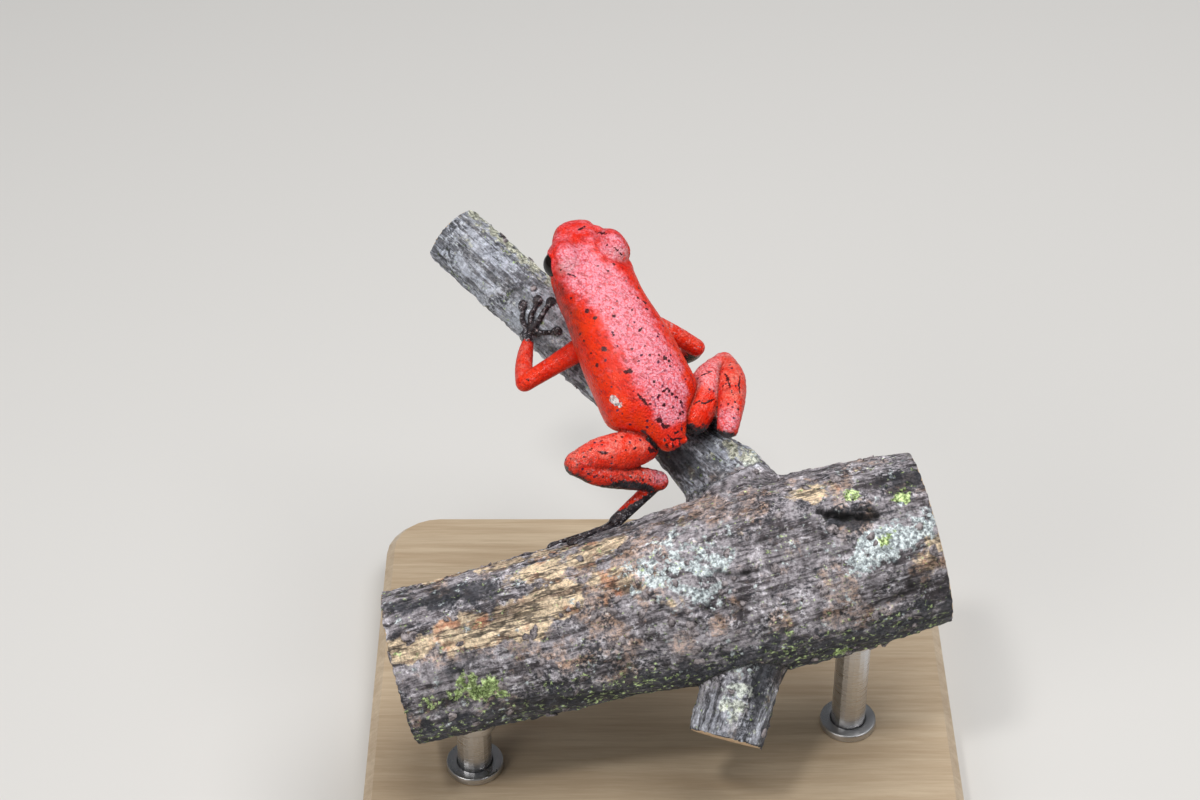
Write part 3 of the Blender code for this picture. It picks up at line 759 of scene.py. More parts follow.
def steelMaterial():
    material, tree, shader = newMaterial("rodSteel", Metallic=1.0, Roughness=0.3)
    turned = stretched(tree, millimetres(tree), (0.6, 0.6, 14.0))
    tone = useGroup(tree, fineGrains, Place=turned, Size=1.4)["Tone"]
    steel = blendColours(tree, tone, colour(0.50, 0.50, 0.51), colour(0.68, 0.68, 0.69))
    rough = between(tree, tone, 0.3, 0.7, 0.24, 0.4)
    connect(tree, shader, Base_Color=steel, Roughness=rough, Normal=bump(tree, tone, 0.00001, strength=0.4))
    return material


def growthMaterial(name, low, high, size, rough):
    # soft mottled colour for moss, lichen and loose flakes
    material, tree, shader = newMaterial(name, Roughness=rough, Specular_IOR_Level=0.3)
    place = millimetres(tree)
    fine = cloud(tree, place, size, 1.0, 5.0, 0.65)
    tint = blendColours(tree, between(tree, fine, 0.36, 0.62), low, high)
    broad = between(tree, cloud(tree, place, size * 6, 2.0), 0.35, 0.65, 0.75, 1.15)
    connect(tree, shader, Base_Color=toned(tree, tint, broad), Normal=bump(tree, fine, 0.00006, strength=0.7))
    return material


def eyeMaterial():
    material, tree, shader = newMaterial("wetEye", Roughness=0.12, Specular_IOR_Level=0.12, Coat_Weight=0.35,
                                         Coat_Roughness=0.02)
    fine = useGroup(tree, fineGrains, Place=millimetres(tree), Size=0.12)["Tone"]
    dark = blendColours(tree, fine, colour(0.003, 0.003, 0.003), colour(0.018, 0.011, 0.009))
    connect(tree, shader, Base_Color=dark)
    return material


skinFinish = frogSkinMaterial()
barkFinish = barkMaterial()
cutFinish = cutWoodMaterial()
eyeFinish = eyeMaterial()
mossFinish = growthMaterial("moss", barkTones["mossDark"], barkTones["mossLight"], 0.35, 0.75)
lichenFinish = growthMaterial("lichen", barkTones["lichenDark"], barkTones["lichenLight"], 0.30, 0.85)
flakeFinish = growthMaterial("barkFlake", colour(0.07, 0.06, 0.065), colour(0.46, 0.41, 0.42), 0.40, 0.85)
steelFinish = steelMaterial()
frame["nodes"]["stand_base"].material_slots[0].material = baseWoodMaterial()
for side in ("left", "right"):
    frame["nodes"]["stand_rod_" + side].material_slots[0].material = steelFinish
print("materials made")


# The cut fork of branch that the frog climbs

fork = {
    "branch": [(-22.3, -12.9, 17.2), (22.2, -6.0, 26.0)],
    "branchRadii": [6.50, 6.65, 6.90, 7.70, 7.85, 7.25],
    "twig": [(3.2, 0.95, 28.9), (-18.5, 19.2, 39.4)],
    "twigRadius": 2.78,
    "twigRoot": [(6.9, -3.7, 26.2), (6.2, -2.4, 26.8), (4.8, -0.7, 27.8), (3.2, 0.7, 28.8)],
    "twigRootRadii": [4.55, 4.10, 3.40, 3.00],
    "side": [(9.6, -7.6, 23.6), (7.6, -11.2, 20.2), (6.3, -14.4, 17.2), (5.0, -17.9, 13.9)],
    "sideRadii": [4.70, 3.80, 3.20, 3.10],
    # radius of the bark at the start of a stick, and how much it grows along it
    "gripRadii": {"twig": (2.70, 0), "branch": (6.40, 0.75 / 45.9)},
    # radii by which the nearest stick is found, and how far apart their places are kept
    "meanRadii": {"branch": 7.2, "twig": 2.9, "side": 3.3},
    "apart": 60,
    "voxel": 0.213,
    "crotches": [((5.6, -3.2, 27.6), 6.2), ((8.0, -10.8, 20.2), 5.4)],
    "softenRepeats": 75,
    "ridge": 0.16,
    "grain": 0.07,
    "warts": 0.14,
    "crumbs": 0.09,
    "crust": 0.12,
    # the pale crust on the twig: the way its edge faces, and how far along the twig it starts
    "edgeFacing": (0.66, 0.46, 0.59),
    "edgeFrom": 6,
    # sawn ends: how deep and how far round the tip they are looked for
    "sawn": (0.5, 9),
    # pale bark round the left hand, as a place on the twig
    "clean": (18.3, -45.0, 0.0),
    # swellings: x, y, z, radius, lift
    "knobs": [(5.6, -0.3, 31.3, 1.0, 0.45), (7.0, -0.9, 30.8, 1.1, 0.35), (7.2, 0.2, 29.6, 1.0, 0.3),
              (-8.5, -17.4, 21.0, 1.2, 0.4), (17.4, -12.4, 30.0, 1.6, 0.3), (0.2, -13.4, 27.6, 1.8, 0.3),
              (11.2, -13.4, 26.2, 1.4, 0.25), (-16.8, -9.6, 25.2, 1.2, 0.25)],
    # lines pressed in or raised: points, depth, half width
    "lines": [
        ([(12.4, -9.5, 31.6), (13.6, -9.9, 31.6), (15.4, -10.2, 31.6), (16.9, -10.1, 31.8)], -0.85, 0.30),
        ([(14.4, -9.4, 31.9), (15.8, -9.6, 32.0), (17.6, -9.6, 32.0)], -0.30, 0.18),
        ([(3.9, -13.4, 28.5), (6.0, -13.6, 28.6), (8.7, -13.4, 28.9)], -0.30, 0.22),
        ([(-20.9, -16.7, 22.3), (-16.6, -16.0, 23.4), (-13.3, -15.2, 24.3)], -0.30, 0.20),
        ([(-4.3, -11.3, 27.6), (-2.2, -13.3, 27.3), (-0.1, -14.7, 26.6), (2.2, -15.5, 25.8),
          (5.4, -15.9, 24.9)], 0.34, 0.36),
        ([(-4.0, -11.9, 27.2), (-2.0, -13.9, 26.9), (0.0, -15.2, 26.1), (2.2, -16.0, 25.2)], -0.25, 0.25),
        ([(2.9, -12.6, 28.8), (2.6, -14.0, 27.7), (3.4, -15.4, 26.2), (5.2, -16.2, 24.6)], -0.22, 0.22),
    ],
    # how far the patches are drawn out along the sticks
    "stretch": {"peel": 2.2, "charAndShade": 1.6, "lichen": 1.3, "moss": 1.2},
    # patches: x, y, z, radius, strength
    "peel": [(-18.4, -8.8, 23.6, 1.5, 0.9), (-13.9, -8.7, 25.0, 1.5, 0.9), (-9.1, -8.2, 26.0, 1.5, 0.85),
             (-21.0, -16.1, 22.8, 1.8, 0.9), (-16.6, -15.5, 23.9, 2.0, 1.0), (-12.2, -15.0, 24.6, 2.2, 1.0),
             (-9.6, -13.9, 25.6, 2.2, 0.95), (-10.6, -11.0, 26.6, 1.7, 0.8), (-6.5, -9.6, 27.4, 2.2, 0.75),
             (-4.9, -13.2, 26.6, 2.0, 0.75), (12.0, -7.4, 31.8, 1.6, 0.5), (20.6, -12.2, 29.6, 1.6, 0.6)],
    "charAndShade": [(0.3, -0.2, 30.2, 1.8, 0.9), (1.6, -1.6, 30.2, 1.5, 0.85), (0.8, -2.4, 28.6, 1.9, 0.85),
             (8.0, -12.4, 20.4, 2.6, 0.75), (-21.7, -12.5, 23.8, 1.6, 0.72), (-18.2, -12.1, 24.6, 1.9, 0.86),
             (-15.6, -12.2, 25.2, 1.8, 0.86), (-4.0, -16.4, 17.8, 3.2, 0.72), (2.0, -15.4, 18.6, 3.4, 0.8),
             (8.0, -14.6, 19.8, 3.0, 0.75), (14.9, -10.2, 31.6, 1.6, 0.8), (9.0, -5.0, 32.2, 2.2, 0.45),
             (-17.0, -16.8, 21.8, 2.0, 0.5), (19.6, -7.0, 32.2, 2.4, 0.7), (1.5, -3.0, 29.4, 2.6, 0.75),
             (8.6, -15.6, 22.8, 2.2, 0.7)],
    "lichen": [(3.2, -12.6, 28.8, 2.0, 0.66), (3.0, -14.6, 27.2, 1.8, 0.58), (-0.6, -13.0, 27.9, 2.4, 0.55),
               (-2.6, -12.4, 27.9, 1.8, 0.52), (0.4, -10.6, 29.0, 2.0, 0.48), (17.4, -12.0, 30.4, 1.9, 0.95),
               (18.9, -11.6, 30.6, 1.6, 0.85), (20.8, -10.8, 31.3, 1.6, 0.72), (16.0, -13.2, 29.3, 1.6, 0.64),
               (6.0, -1.1, 31.0, 1.3, 0.85), (7.3, -1.5, 30.7, 1.4, 0.9), (6.4, -15.2, 20.6, 1.8, 0.6),
               (5.6, -17.4, 17.8, 2.0, 0.6)],
    "moss": [(-16.3, -18.0, 20.7, 1.0, 0.85), (-15.3, -18.4, 19.8, 1.1, 0.9), (-14.4, -18.1, 20.3, 1.0, 0.85),
             (-13.6, -18.4, 19.6, 0.8, 0.7), (-17.3, -18.4, 19.6, 0.8, 0.65), (15.1, -8.2, 32.2, 0.8, 0.8),
             (19.1, -8.8, 32.4, 0.8, 0.8), (14.4, -14.0, 20.6, 1.0, 0.7), (-9.0, -18.4, 20.2, 0.8, 0.6),
             (17.6, -11.9, 30.5, 0.8, 0.6), (-19.5, -18.4, 19.0, 1.0, 0.7), (9.2, -17.0, 23.2, 0.8, 0.5)],
}


def stickFrame(line):
    start, end = np.array(line[0], float), np.array(line[-1], float)
    along = unit(end - start)
    top = unit(np.array((0, 0, 1.0)) - along * along[2])
    return start, along, top, np.cross(along, top)


stickFrames = {name: stickFrame(fork[name]) for name in ("branch", "twig", "side")}


def onStick(name, distance, degrees, lift):
    # place near a stick: how far along it, how far round it and how far off it
    start, along, top, side = stickFrames[name]
    radius, growing = fork["gripRadii"][name]
    turn = math.radians(degrees)
    out = top * math.cos(turn) + side * math.sin(turn)
    return start + along * distance + out * (radius + growing * distance + lift)


def stickCoordinates(points):
    # which stick each point belongs to, and its place in that stick's own directions
    gaps, places = [], []
    for order, (name, radius) in enumerate(fork["meanRadii"].items()):
        start, along, top, side = stickFrames[name]
        near = points - start
        places.append(np.stack([near @ along + fork["apart"] * order, near @ side, near @ top], 1))
        line = fork[name] if name != "twig" else fork["twigRoot"] + [fork["twig"][1]]
        gaps.append(distanceTo(points, line)[0] / radius)
    gaps = np.array(gaps)
    which = np.argmin(gaps, 0)
    ragged = 0.30 * lumps(points, 1.2)
    twigShare = ramp(-0.25, 0.25, np.minimum(gaps[0], gaps[2]) - gaps[1] + ragged)
    stubShare = ramp(-0.1, 0.5, np.minimum(gaps[0], gaps[1]) - gaps[2] + ragged)
    return which, np.array(places)[which, np.arange(len(points))], np.maximum(twigShare, stubShare * 0.7)


def stickPatches(place, name):
    # soft patches drawn out along the sticks
    found = np.zeros(len(place))
    for x, y, z, radius, strength in fork[name]:
        middle = stickCoordinates(np.array([(x, y, z)]))[1]
        gap = gapTo((place - middle) / (fork["stretch"][name], 1, 1), (0, 0, 0))
        found = np.maximum(found, strength * (1 - ramp(radius * 0.35, radius * 1.15, gap)))
    return found


def makeFork():
    up = (0, -0.3, 1)
    start, end = np.array(fork["branch"], float)
    line = [start + (end - start) * k for k in (0, 0.2, 0.4, 0.6, 0.8, 1)]
    twigStart, twigEnd = np.array(fork["twig"], float)
    twigLine = fork["twigRoot"] + [twigStart + (twigEnd - twigStart) * k for k in (0.12, 0.35, 0.6, 0.8, 1)]
    twigRadii = fork["twigRootRadii"] + [fork["twigRadius"]] * 5
    shells = [
        rod(line, fork["branchRadii"], up, sides=72, steps=9, rounded=False),
        rod(fork["side"], fork["sideRadii"], up, sides=48, steps=6, rounded=False),
        rod(twigLine, twigRadii, up, sides=48, steps=6, rounded=False),
    ]
    obj = fuse(solid("forkBranch", shells), fork["voxel"])
    points = pointsOf(obj)
    crotches = [1 - ramp(radius * 0.6, radius, gapTo(points, centre)) for centre, radius in fork["crotches"]]
    soften(obj, np.maximum.reduce(crotches), fork["softenRepeats"])

    points, normals = pointsOf(obj), normalsOf(obj)
    which, place, twigShare = stickCoordinates(points)
    cut = cutEnds(points, normals)
    crust = stickPatches(place, "lichen")
    crumbs = lumps(place, 0.42, 9.9)
    height = fork["ridge"] * lumps(place * (0.22, 1, 1), 1.7)
    height += fork["grain"] * lumps(place * (0.16, 1, 1), 0.55, 7.3)
    height += fork["warts"] * np.maximum(lumps(place, 0.9, 3.1), -0.2) + fork["crumbs"] * crumbs
    height += fork["crust"] * ramp(0.45, 0.65, crust + 0.9 * lumps(place, 0.7, 4.4))
    for x, y, z, radius, lift in fork["knobs"]:
        height += lift * bell(gapTo(points, (x, y, z)), 0, radius)
    for path, depth, width in fork["lines"]:
        gap = distanceTo(points, smoothLine(path, 4))[0] + 0.5 * width * crumbs
        height += depth * bell(gap, 0, width)
    height *= 1 - cut
    movePoints(obj, points + normals * height[:, None])

    # pale crust along the twig's upper edge, painted shade under the branch, and a little moss there
    edge = ramp(0.50, 0.92, normals @ unit(np.array(fork["edgeFacing"]))) * (which == 1)
    edge *= place[:, 0] > fork["apart"] + fork["edgeFrom"]
    # faces turned down: painted shade there, and a little moss
    under = ramp(-0.42, 0.40, -normals[:, 2]) * (which != 1)
    clean = gapTo(points, onStick("twig", *fork["clean"]))
    for name, values in {
        "cutEnd": cut,
        "fibre": place,
        "relief": height,
        "clean": 1 - ramp(1.8, 4.0, clean),
        "twigShare": twigShare,
        "peel": stickPatches(place, "peel"),
        # dark patches, and painted shade on the underside of the branch
        "charAndShade": np.maximum(stickPatches(place, "charAndShade"), under * 0.88),
        "lichen": np.maximum(crust, edge * 0.62),
        "moss": np.maximum(stickPatches(place, "moss"), 0.20 * under * (which == 0)),
    }.items():
        keep(obj, name, values)
    # two empty slots, for the bark and for the cut wood
    for empty in range(2):
        obj.data.materials.append(None)
    corners = [(p.vertices[0], p.vertices[2]) for p in obj.data.polygons]
    kinds = cut[np.array(corners)].sum(1) > 1.0
    obj.data.polygons.foreach_set("material_index", kinds.astype(np.int32))
    return obj


def cutEnds(points, normals):
    # 1 on the sawn ends of the sticks
    cut = np.zeros(len(points))
    depth, reach = fork["sawn"]
    for name, end in (("branch", 0), ("branch", -1), ("twig", -1), ("side", -1)):
        tip = np.array(fork[name][end], float)
        ahead = stickFrames[name][1] if name != "side" else unit(tip - np.array(fork["side"][-2], float))
        facing = normals @ ahead * (1 if end else -1)
        near = (np.abs((points - tip) @ ahead) < depth) * (gapTo(points, tip) < reach)
        cut = np.maximum(cut, near * ramp(0.55, 0.8, facing))
    return cut


forkBranch = makeFork()
forkTree = treeOf(forkBranch)
print("fork shaped:", len(forkBranch.data.polygons), "faces")


# The frog's one skin

frogBody = {
    "spine": [(-8.05, 13.4, 44.6), (-5.6, 7.4, 41.4), (-3.0, 2.9, 38.0), (0.7, -3.2, 33.2)],
    "spineUp": [(0.170, -0.397, 0.902), (0.20, -0.46, 0.865), (0.218, -0.515, 0.829), (0.218, -0.515, 0.829)],
    "squareness": 2.35,
    "sides": 72,
    # where the shell closes before and behind the rows
    "tips": (0.02, 22.2),
    # behind the snout, half width, height above and depth below the middle line
    "rows": [
        (0.05, 0.60, 0.35, 0.35), (0.30, 1.22, 0.75, 0.75), (0.80, 1.70, 1.12, 1.08),
        (1.45, 2.05, 1.40, 1.30), (2.30, 2.45, 1.72, 1.58), (3.30, 2.88, 2.02, 1.95),
        (4.40, 3.22, 2.18, 2.25), (5.50, 3.45, 2.25, 2.45), (6.85, 3.58, 2.33, 2.56),
        (8.20, 3.56, 2.46, 2.70), (9.60, 3.68, 2.60, 2.85), (11.40, 3.92, 2.78, 3.05),
        (13.30, 4.12, 2.88, 3.20), (15.20, 4.18, 2.85, 3.32), (16.70, 4.26, 2.74, 3.40),
        (17.90, 4.16, 2.58, 3.42), (18.90, 3.38, 2.30, 2.85), (19.80, 2.42, 1.98, 2.05),
        (20.80, 1.72, 1.55, 1.40), (21.60, 1.20, 1.10, 0.95), (22.10, 0.60, 0.60, 0.50)],
    "lids": {-1: (4.00, 1.98, 0.66), 1: (3.95, 2.14, 0.84)},
    "lidSize": (1.50, 2.00, 1.80),
    "cheek": (5.25, 2.42, 0.50, (1.12, 1.60, 1.00)),
    "brow": (2.45, 1.80, 0.60, (0.72, 1.20, 0.85)),
    "crease": 0.20,
    "nostril": (0.75, 1.18, 0.42),
    "eardrum": (5.55, 0.10),
    "mouth": [0.32, 0.8, 1.5, 2.4, 3.4, 4.3, 4.9],
    "mouthShare": 0.45,
    "mouthMiddle": (0.05, 0, -0.18),
    "ventBumps": [(-0.15, -3.62, 34.2, 0.34), (0.42, -3.70, 33.9, 0.30), (0.95, -3.35, 33.8, 0.32),
                  (1.45, -2.85, 33.8, 0.34), (0.5, -3.2, 33.4, 0.38)],
    # where the upper arms run softly into the body: middle and reach
    "armpits": [((-6.2, 5.4, 38.0), 2.4), ((-2.2, 6.3, 39.4), 2.2)],
    "limbUp": (0.1, -0.6, 0.8),
    "softenRepeats": (40, 3),
    "voxel": 0.115,
    "grains": 0.020,
    "wrinkles": 0.035,
}
eyes = {
    "place": (4.00, 2.66, 0.60),
    "radius": 1.20,
    "lookUp": {-1: 0.0, 1: -0.22},
    "lookAhead": 0.12,
    "openWide": 60,
    "openHigh": 53,
    "lidThick": 0.09,
    "lidEdge": 0.04,
    # how far round the ball the skin is opened, and how far it stays behind the ball's surface
    "reach": 0.9,
    "behindBall": 0.12,
}

limbs = {
    "upper_arm_left": ([(-5.2, 5.9, 38.9), (-6.9, 5.2, 37.5), (-9.5, 4.3, 36.1), (-11.9, 3.5, 34.9)],
                       [1.15, 1.02, 0.84, 0.78]),
    "forearm_left": ([(-11.9, 3.5, 34.9), (-12.0, 5.2, 35.1), (-11.9, 6.8, 35.4), (-11.7, 8.0, 35.8)],
                     [0.78, 0.76, 0.68, 0.52]),
    "upper_arm_right": ([(-3.0, 6.2, 40.1), (-1.6, 6.3, 39.2), (0.7, 6.4, 37.9), (2.7, 6.2, 36.6)],
                        [1.15, 1.00, 0.82, 0.76]),
    "forearm_right": ([(2.7, 6.2, 36.6), (2.3, 6.8, 35.6), (1.4, 7.4, 34.6), (0.5, 7.9, 33.7)],
                      [0.70, 0.76, 0.68, 0.50]),
    "thigh_left": ([(-2.0, -2.6, 33.0), (-3.6, -3.5, 33.1), (-5.6, -4.5, 33.4), (-7.4, -5.5, 33.4)],
                   [1.50, 1.68, 1.50, 1.08]),
    "shank_left": ([(-7.4, -5.5, 33.4), (-5.6, -5.2, 32.3), (-3.2, -4.4, 31.1), (-0.6, -3.5, 29.9)],
                   [1.02, 1.20, 1.10, 0.86]),
    "thigh_right": ([(2.4, -0.3, 34.2), (3.1, 1.3, 34.7), (3.9, 3.2, 35.3), (5.0, 5.1, 35.6)],
                    [1.50, 1.76, 1.60, 1.10]),
    "shank_right": ([(5.0, 5.1, 35.6), (5.5, 2.7, 35.9), (5.5, 0.1, 35.7), (5.1, -2.7, 35.0)],
                    [1.04, 1.26, 1.16, 0.92]),
}

# Palm and digits as places on a stick: along, round and off it.
grips = {
    "hand_left": ("twig", (18.0, -86.0, 0.95), [
        ((17.2, -63.0, 0.62), (16.2, -43.0, 0.60)), ((18.1, -50.0, 0.62), (18.5, -14.5, 0.60)),
        ((18.8, -57.0, 0.62), (19.4, -27.0, 0.60)), ((19.3, -71.0, 0.62), (20.1, -49.0, 0.60))]),
    "hand_right": ("twig", (8.7, 80.0, 0.95), [
        ((9.6, 68.0, 0.62), (10.2, 54.0, 0.60)), ((10.6, 74.0, 0.62), (12.6, 66.0, 0.60)),
        ((10.8, 86.0, 0.62), (13.2, 86.0, 0.60)), ((10.4, 98.0, 0.62), (12.2, 106.0, 0.60))]),
    "foot_left": ("branch", (20.6, -41.0, 1.00), [
        ((19.8, -52.0, 0.78), (19.1, -60.0, 0.75)), ((18.9, -50.0, 0.78), (17.4, -58.0, 0.75)),
        ((18.2, -46.0, 0.78), (15.9, -50.0, 0.75)), ((17.8, -41.0, 0.78), (14.8, -40.0, 0.75)),
        ((18.6, -36.0, 0.78), (16.7, -28.0, 0.75))]),
    "foot_right": ("twig", (0.6, 24.0, 0.95), [
        ((1.6, 20.0, 0.64), (2.8, 22.0, 0.62)), ((2.3, 32.0, 0.64), (4.0, 38.0, 0.62)),
        ((2.6, 44.0, 0.64), (5.2, 54.0, 0.62)), ((2.5, 56.0, 0.64), (6.0, 72.0, 0.62)),
        ((1.7, 62.0, 0.64), (3.9, 88.0, 0.62))]),
}
gripShape = {
    "wrist": {"hand_left": (-11.7, 8.0, 35.8), "hand_right": (0.5, 7.9, 33.7),
              "foot_left": (-0.6, -3.5, 29.9), "foot_right": (5.1, -2.7, 35.0)},
    "wristRadius": {"hand": 0.52, "foot": 0.62},
    "palmRadius": 0.58,
    "palmLift": 0.8,
    # how the wrist and the digits taper
    "palmTaper": (1.05, 1.0, 0.95),
    "digitRadius": 0.25,
    "digitTaper": (1.3, 1.15, 1.05, 0.88, 0.80),
    "disc": (0.46, 0.52, 0.24),
    "press": 0.18,
}

# Marks on the skin. Specks and lines are given by the pixel of the picture where they are seen.
marks = {
    # pixel across, pixel down, radius
    "specks": [
        (607, 245, 0.10), (594, 239, 0.10), (598, 266, 0.10), (614, 264, 0.12), (608, 271, 0.10),
        (571, 298, 0.13), (571, 313, 0.12), (587, 311, 0.20), (595, 318, 0.18), (639, 288, 0.13),
        (638, 298, 0.11), (647, 309, 0.14), (617, 301, 0.10), (614, 316, 0.15), (613, 309, 0.10),
        (632, 310, 0.10), (613, 335, 0.12), (628, 325, 0.10), (659, 334, 0.10), (626, 281, 0.10),
        (604, 349, 0.24), (597, 365, 0.17), (630, 371, 0.22), (626, 372, 0.18), (665, 358, 0.21),
        (669, 361, 0.15), (654, 382, 0.13), (632, 349, 0.10), (639, 361, 0.10),
        (664, 405, 0.16), (667, 389, 0.14), (677, 397, 0.13), (664, 391, 0.14), (680, 414, 0.14),
        (678, 418, 0.10), (601, 441, 0.11), (592, 448, 0.10), (635, 448, 0.12), (528, 380, 0.12),
        (580, 334, 0.15), (584, 341, 0.13), (591, 353, 0.10), (561, 270, 0.10), (563, 289, 0.12),
        (670, 366, 0.12), (659, 355, 0.12), (650, 355, 0.10), (645, 346, 0.10), (669, 391, 0.14),
        (672, 394, 0.15), (659, 395, 0.12), (681, 402, 0.14), (683, 412, 0.13), (673, 407, 0.12),
        (664, 406, 0.10), (650, 404, 0.10), (602, 445, 0.10), (616, 441, 0.10), (626, 450, 0.10),
        (584, 457, 0.10), (622, 437, 0.10), (590, 450, 0.10), (612, 457, 0.10), (631, 477, 0.12),
        (622, 481, 0.12), (612, 479, 0.10), (643, 480, 0.12), (603, 477, 0.10), (645, 487, 0.12),
        (723, 386, 0.10), (736, 386, 0.10), (728, 404, 0.12), (735, 402, 0.11), (738, 409, 0.12),
        (723, 369, 0.10), (730, 365, 0.10), (736, 363, 0.10)],
    # pixels along the line, half width
    "lines": [
        ([(578, 230), (582, 228), (585, 226)], 0.11), ([(596, 232), (601, 233), (606, 234)], 0.12),
        ([(612, 247), (617, 250), (622, 255)], 0.06), ([(568, 274), (572, 275), (576, 277)], 0.08),
        ([(642, 328), (638, 332)], 0.07), ([(638, 394), (642, 399), (645, 403), (648, 406)], 0.12),
        ([(655, 420), (659, 419), (662, 421), (658, 422)], 0.09),
        ([(662, 423), (665, 427), (669, 426)], 0.13), ([(674, 433), (675, 433), (682, 430)], 0.07),
        ([(668, 435), (672, 440), (677, 439), (682, 438)], 0.085),
        ([(672, 440), (673, 446), (673, 450)], 0.07), ([(679, 440), (680, 445)], 0.09),
        ([(664, 438), (666, 444), (668, 448)], 0.1), ([(643, 301), (647, 304)], 0.09),
        ([(598, 452), (602, 453), (607, 453)], 0.12), ([(649, 448), (652, 450), (655, 452)], 0.16),
        ([(626, 468), (633, 472)], 0.1),
        ([(725, 374), (728, 378), (728, 382), (730, 386), (733, 395)], 0.075),
        ([(740, 376), (739, 386), (740, 395)], 0.06),
        ([(694, 404), (699, 401), (704, 404), (710, 401), (714, 399)], 0.075),
        ([(701, 376), (707, 373), (712, 371)], 0.06)],
    # places that lie in black shadow
    "gaps": [([(-1.9, -3.15, 34.9), (-1.5, -3.3, 34.4), (-1.0, -3.3, 33.6), (-0.3, -3.2, 32.9)], 0.26),
             ([(2.0, -1.7, 34.1), (2.3, -1.0, 33.4)], 0.5), ([(4.6, -1.8, 34.1), (4.3, -0.6, 33.8)], 0.5)],
    "flecks": [(-4.4, -2.0, 37.4, 0.42), (-4.2, -2.2, 37.3, 0.36), (-3.8, -2.4, 37.1, 0.26),
               (5.9, -3.1, 34.5, 0.32)],
}


def spineStations():
    points = smoothLine(frogBody["spine"], 60)
    ups = smoothLine(frogBody["spineUp"], 60)
    steps = np.linalg.norm(np.diff(points, axis=0), axis=1)
    walked = np.concatenate([[0], np.cumsum(steps)])
    ahead = -unit(np.gradient(points, axis=0))
    right = unit(np.cross(ahead, ups))
    return walked, points, ahead, right, np.cross(right, ahead)


stations = spineStations()


def spineAt(distance):
    # middle, forward, right and up of the body so far behind the snout
    walked = stations[0]
    return [np.array([np.interp(distance, walked, part[:, k]) for k in range(3)]) for part in stations[1:]]


def onBody(distance, side, height):
    middle, ahead, right, up = spineAt(distance)
    return middle + right * side + up * height


rowTable = smoothLine(frogBody["rows"], 8)


def rowAt(distance, column):
    return np.interp(distance, rowTable[:, 0], rowTable[:, column])


def bodyPlace(points):
    # how far behind the snout, to the side and above the middle line, and the gap to the body's surface
    found = []
    for part in np.array_split(points, 12):
        apart = ((part[:, None] - stations[1][None]) ** 2).sum(2)
        found.append(np.argmin(apart, 1))
    nearest = np.concatenate(found)
    off = points - stations[1][nearest]
    behind = stations[0][nearest]
    side = (off * stations[3][nearest]).sum(1)
    height = (off * stations[4][nearest]).sum(1)
    half = rowAt(behind, 1)
    tall = np.where(height > 0, rowAt(behind, 2), rowAt(behind, 3))
    power = frogBody["squareness"]
    size = ((np.abs(side) / half) ** power + (np.abs(height) / tall) ** power) ** (1 / power)
    return behind, side, height, (size - 1) * np.minimum(half, tall)


def flank(distance, height):
    # how far out the side of the head is at a height
    half = rowAt(distance, 1)
    reach = min(abs(height) / rowAt(distance, 2 if height > 0 else 3), 1)
    return half * (1 - reach ** frogBody["squareness"]) ** (1 / frogBody["squareness"])


def bodyShell():
    power = 2 / frogBody["squareness"]
    turns = np.linspace(0, 2 * math.pi, frogBody["sides"], endpoint=False)
    across = np.sign(np.cos(turns)) * np.abs(np.cos(turns)) ** power
    rise = np.sign(np.sin(turns)) * np.abs(np.sin(turns)) ** power
    rings = []
    for distance, half, top, bottom in smoothLine(frogBody["rows"], 5):
        middle, ahead, right, up = spineAt(distance)
        height = np.where(rise > 0, top, bottom) * rise
        rings.append(middle + np.outer(across * half, right) + np.outer(height, up))
    return loft(rings, *(onBody(distance, 0, 0) for distance in frogBody["tips"]))


def pressed(point, lift):
    # move a place on to the bark, so far above it
    near, normal, face, gap = forkTree.find_nearest(point)
    return np.array(near + normal * lift)


def onNearest(points, place):
    return points[np.argmin(((points - place) ** 2).sum(1))]


def partWay(first, second, part):
    return [a + (b - a) * part for a, b in zip(first, second)]


def gripShells(name):
    stick, palm, digits = grips[name]
    kind = name.split("_")[0]
    middle = pressed(onStick(stick, *palm), gripShape["palmRadius"] * gripShape["palmLift"])
    root = np.array(gripShape["wrist"][name], float)
    away = unit(middle - pressed(middle, 0.0))
    radii = [gripShape["wristRadius"][kind] * share for share in gripShape["palmTaper"]]
    line = [root, root + (middle - root) * 0.4, root + (middle - root) * 0.8, middle]
    shells = [rod(line, radii + [gripShape["palmRadius"]], away, sides=20)]
    paths = [np.array(line)]
    for knuckle, tip in digits:
        places = [partWay(palm, knuckle, 0.5), knuckle, partWay(knuckle, tip, 0.55), tip]
        path = np.array([middle] + [pressed(onStick(stick, *place), gripShape["press"]) for place in places])
        ups = np.array([unit(p - pressed(p, -0.3)) for p in path])
        radii = np.array(gripShape["digitTaper"]) * gripShape["digitRadius"]
        shells.append(rod(path, radii, ups, sides=14, steps=6))
        paths.append(path)
        ahead = unit(path[-1] - path[-2])
        side = unit(np.cross(ahead, ups[-1]))
        axes = (side, unit(np.cross(ups[-1], side)), ups[-1])
        shells.append(egg(path[-1] - ups[-1] * 0.02, axes, gripShape["disc"], around=20, down=12))
    return shells, paths


def bodyEgg(distance, across, high, size, turnedAt):
    # egg in the directions that the body has at the last distance
    middle, ahead, right, up = spineAt(turnedAt)
    return egg(onBody(distance, across, high), (right, ahead, up), size)


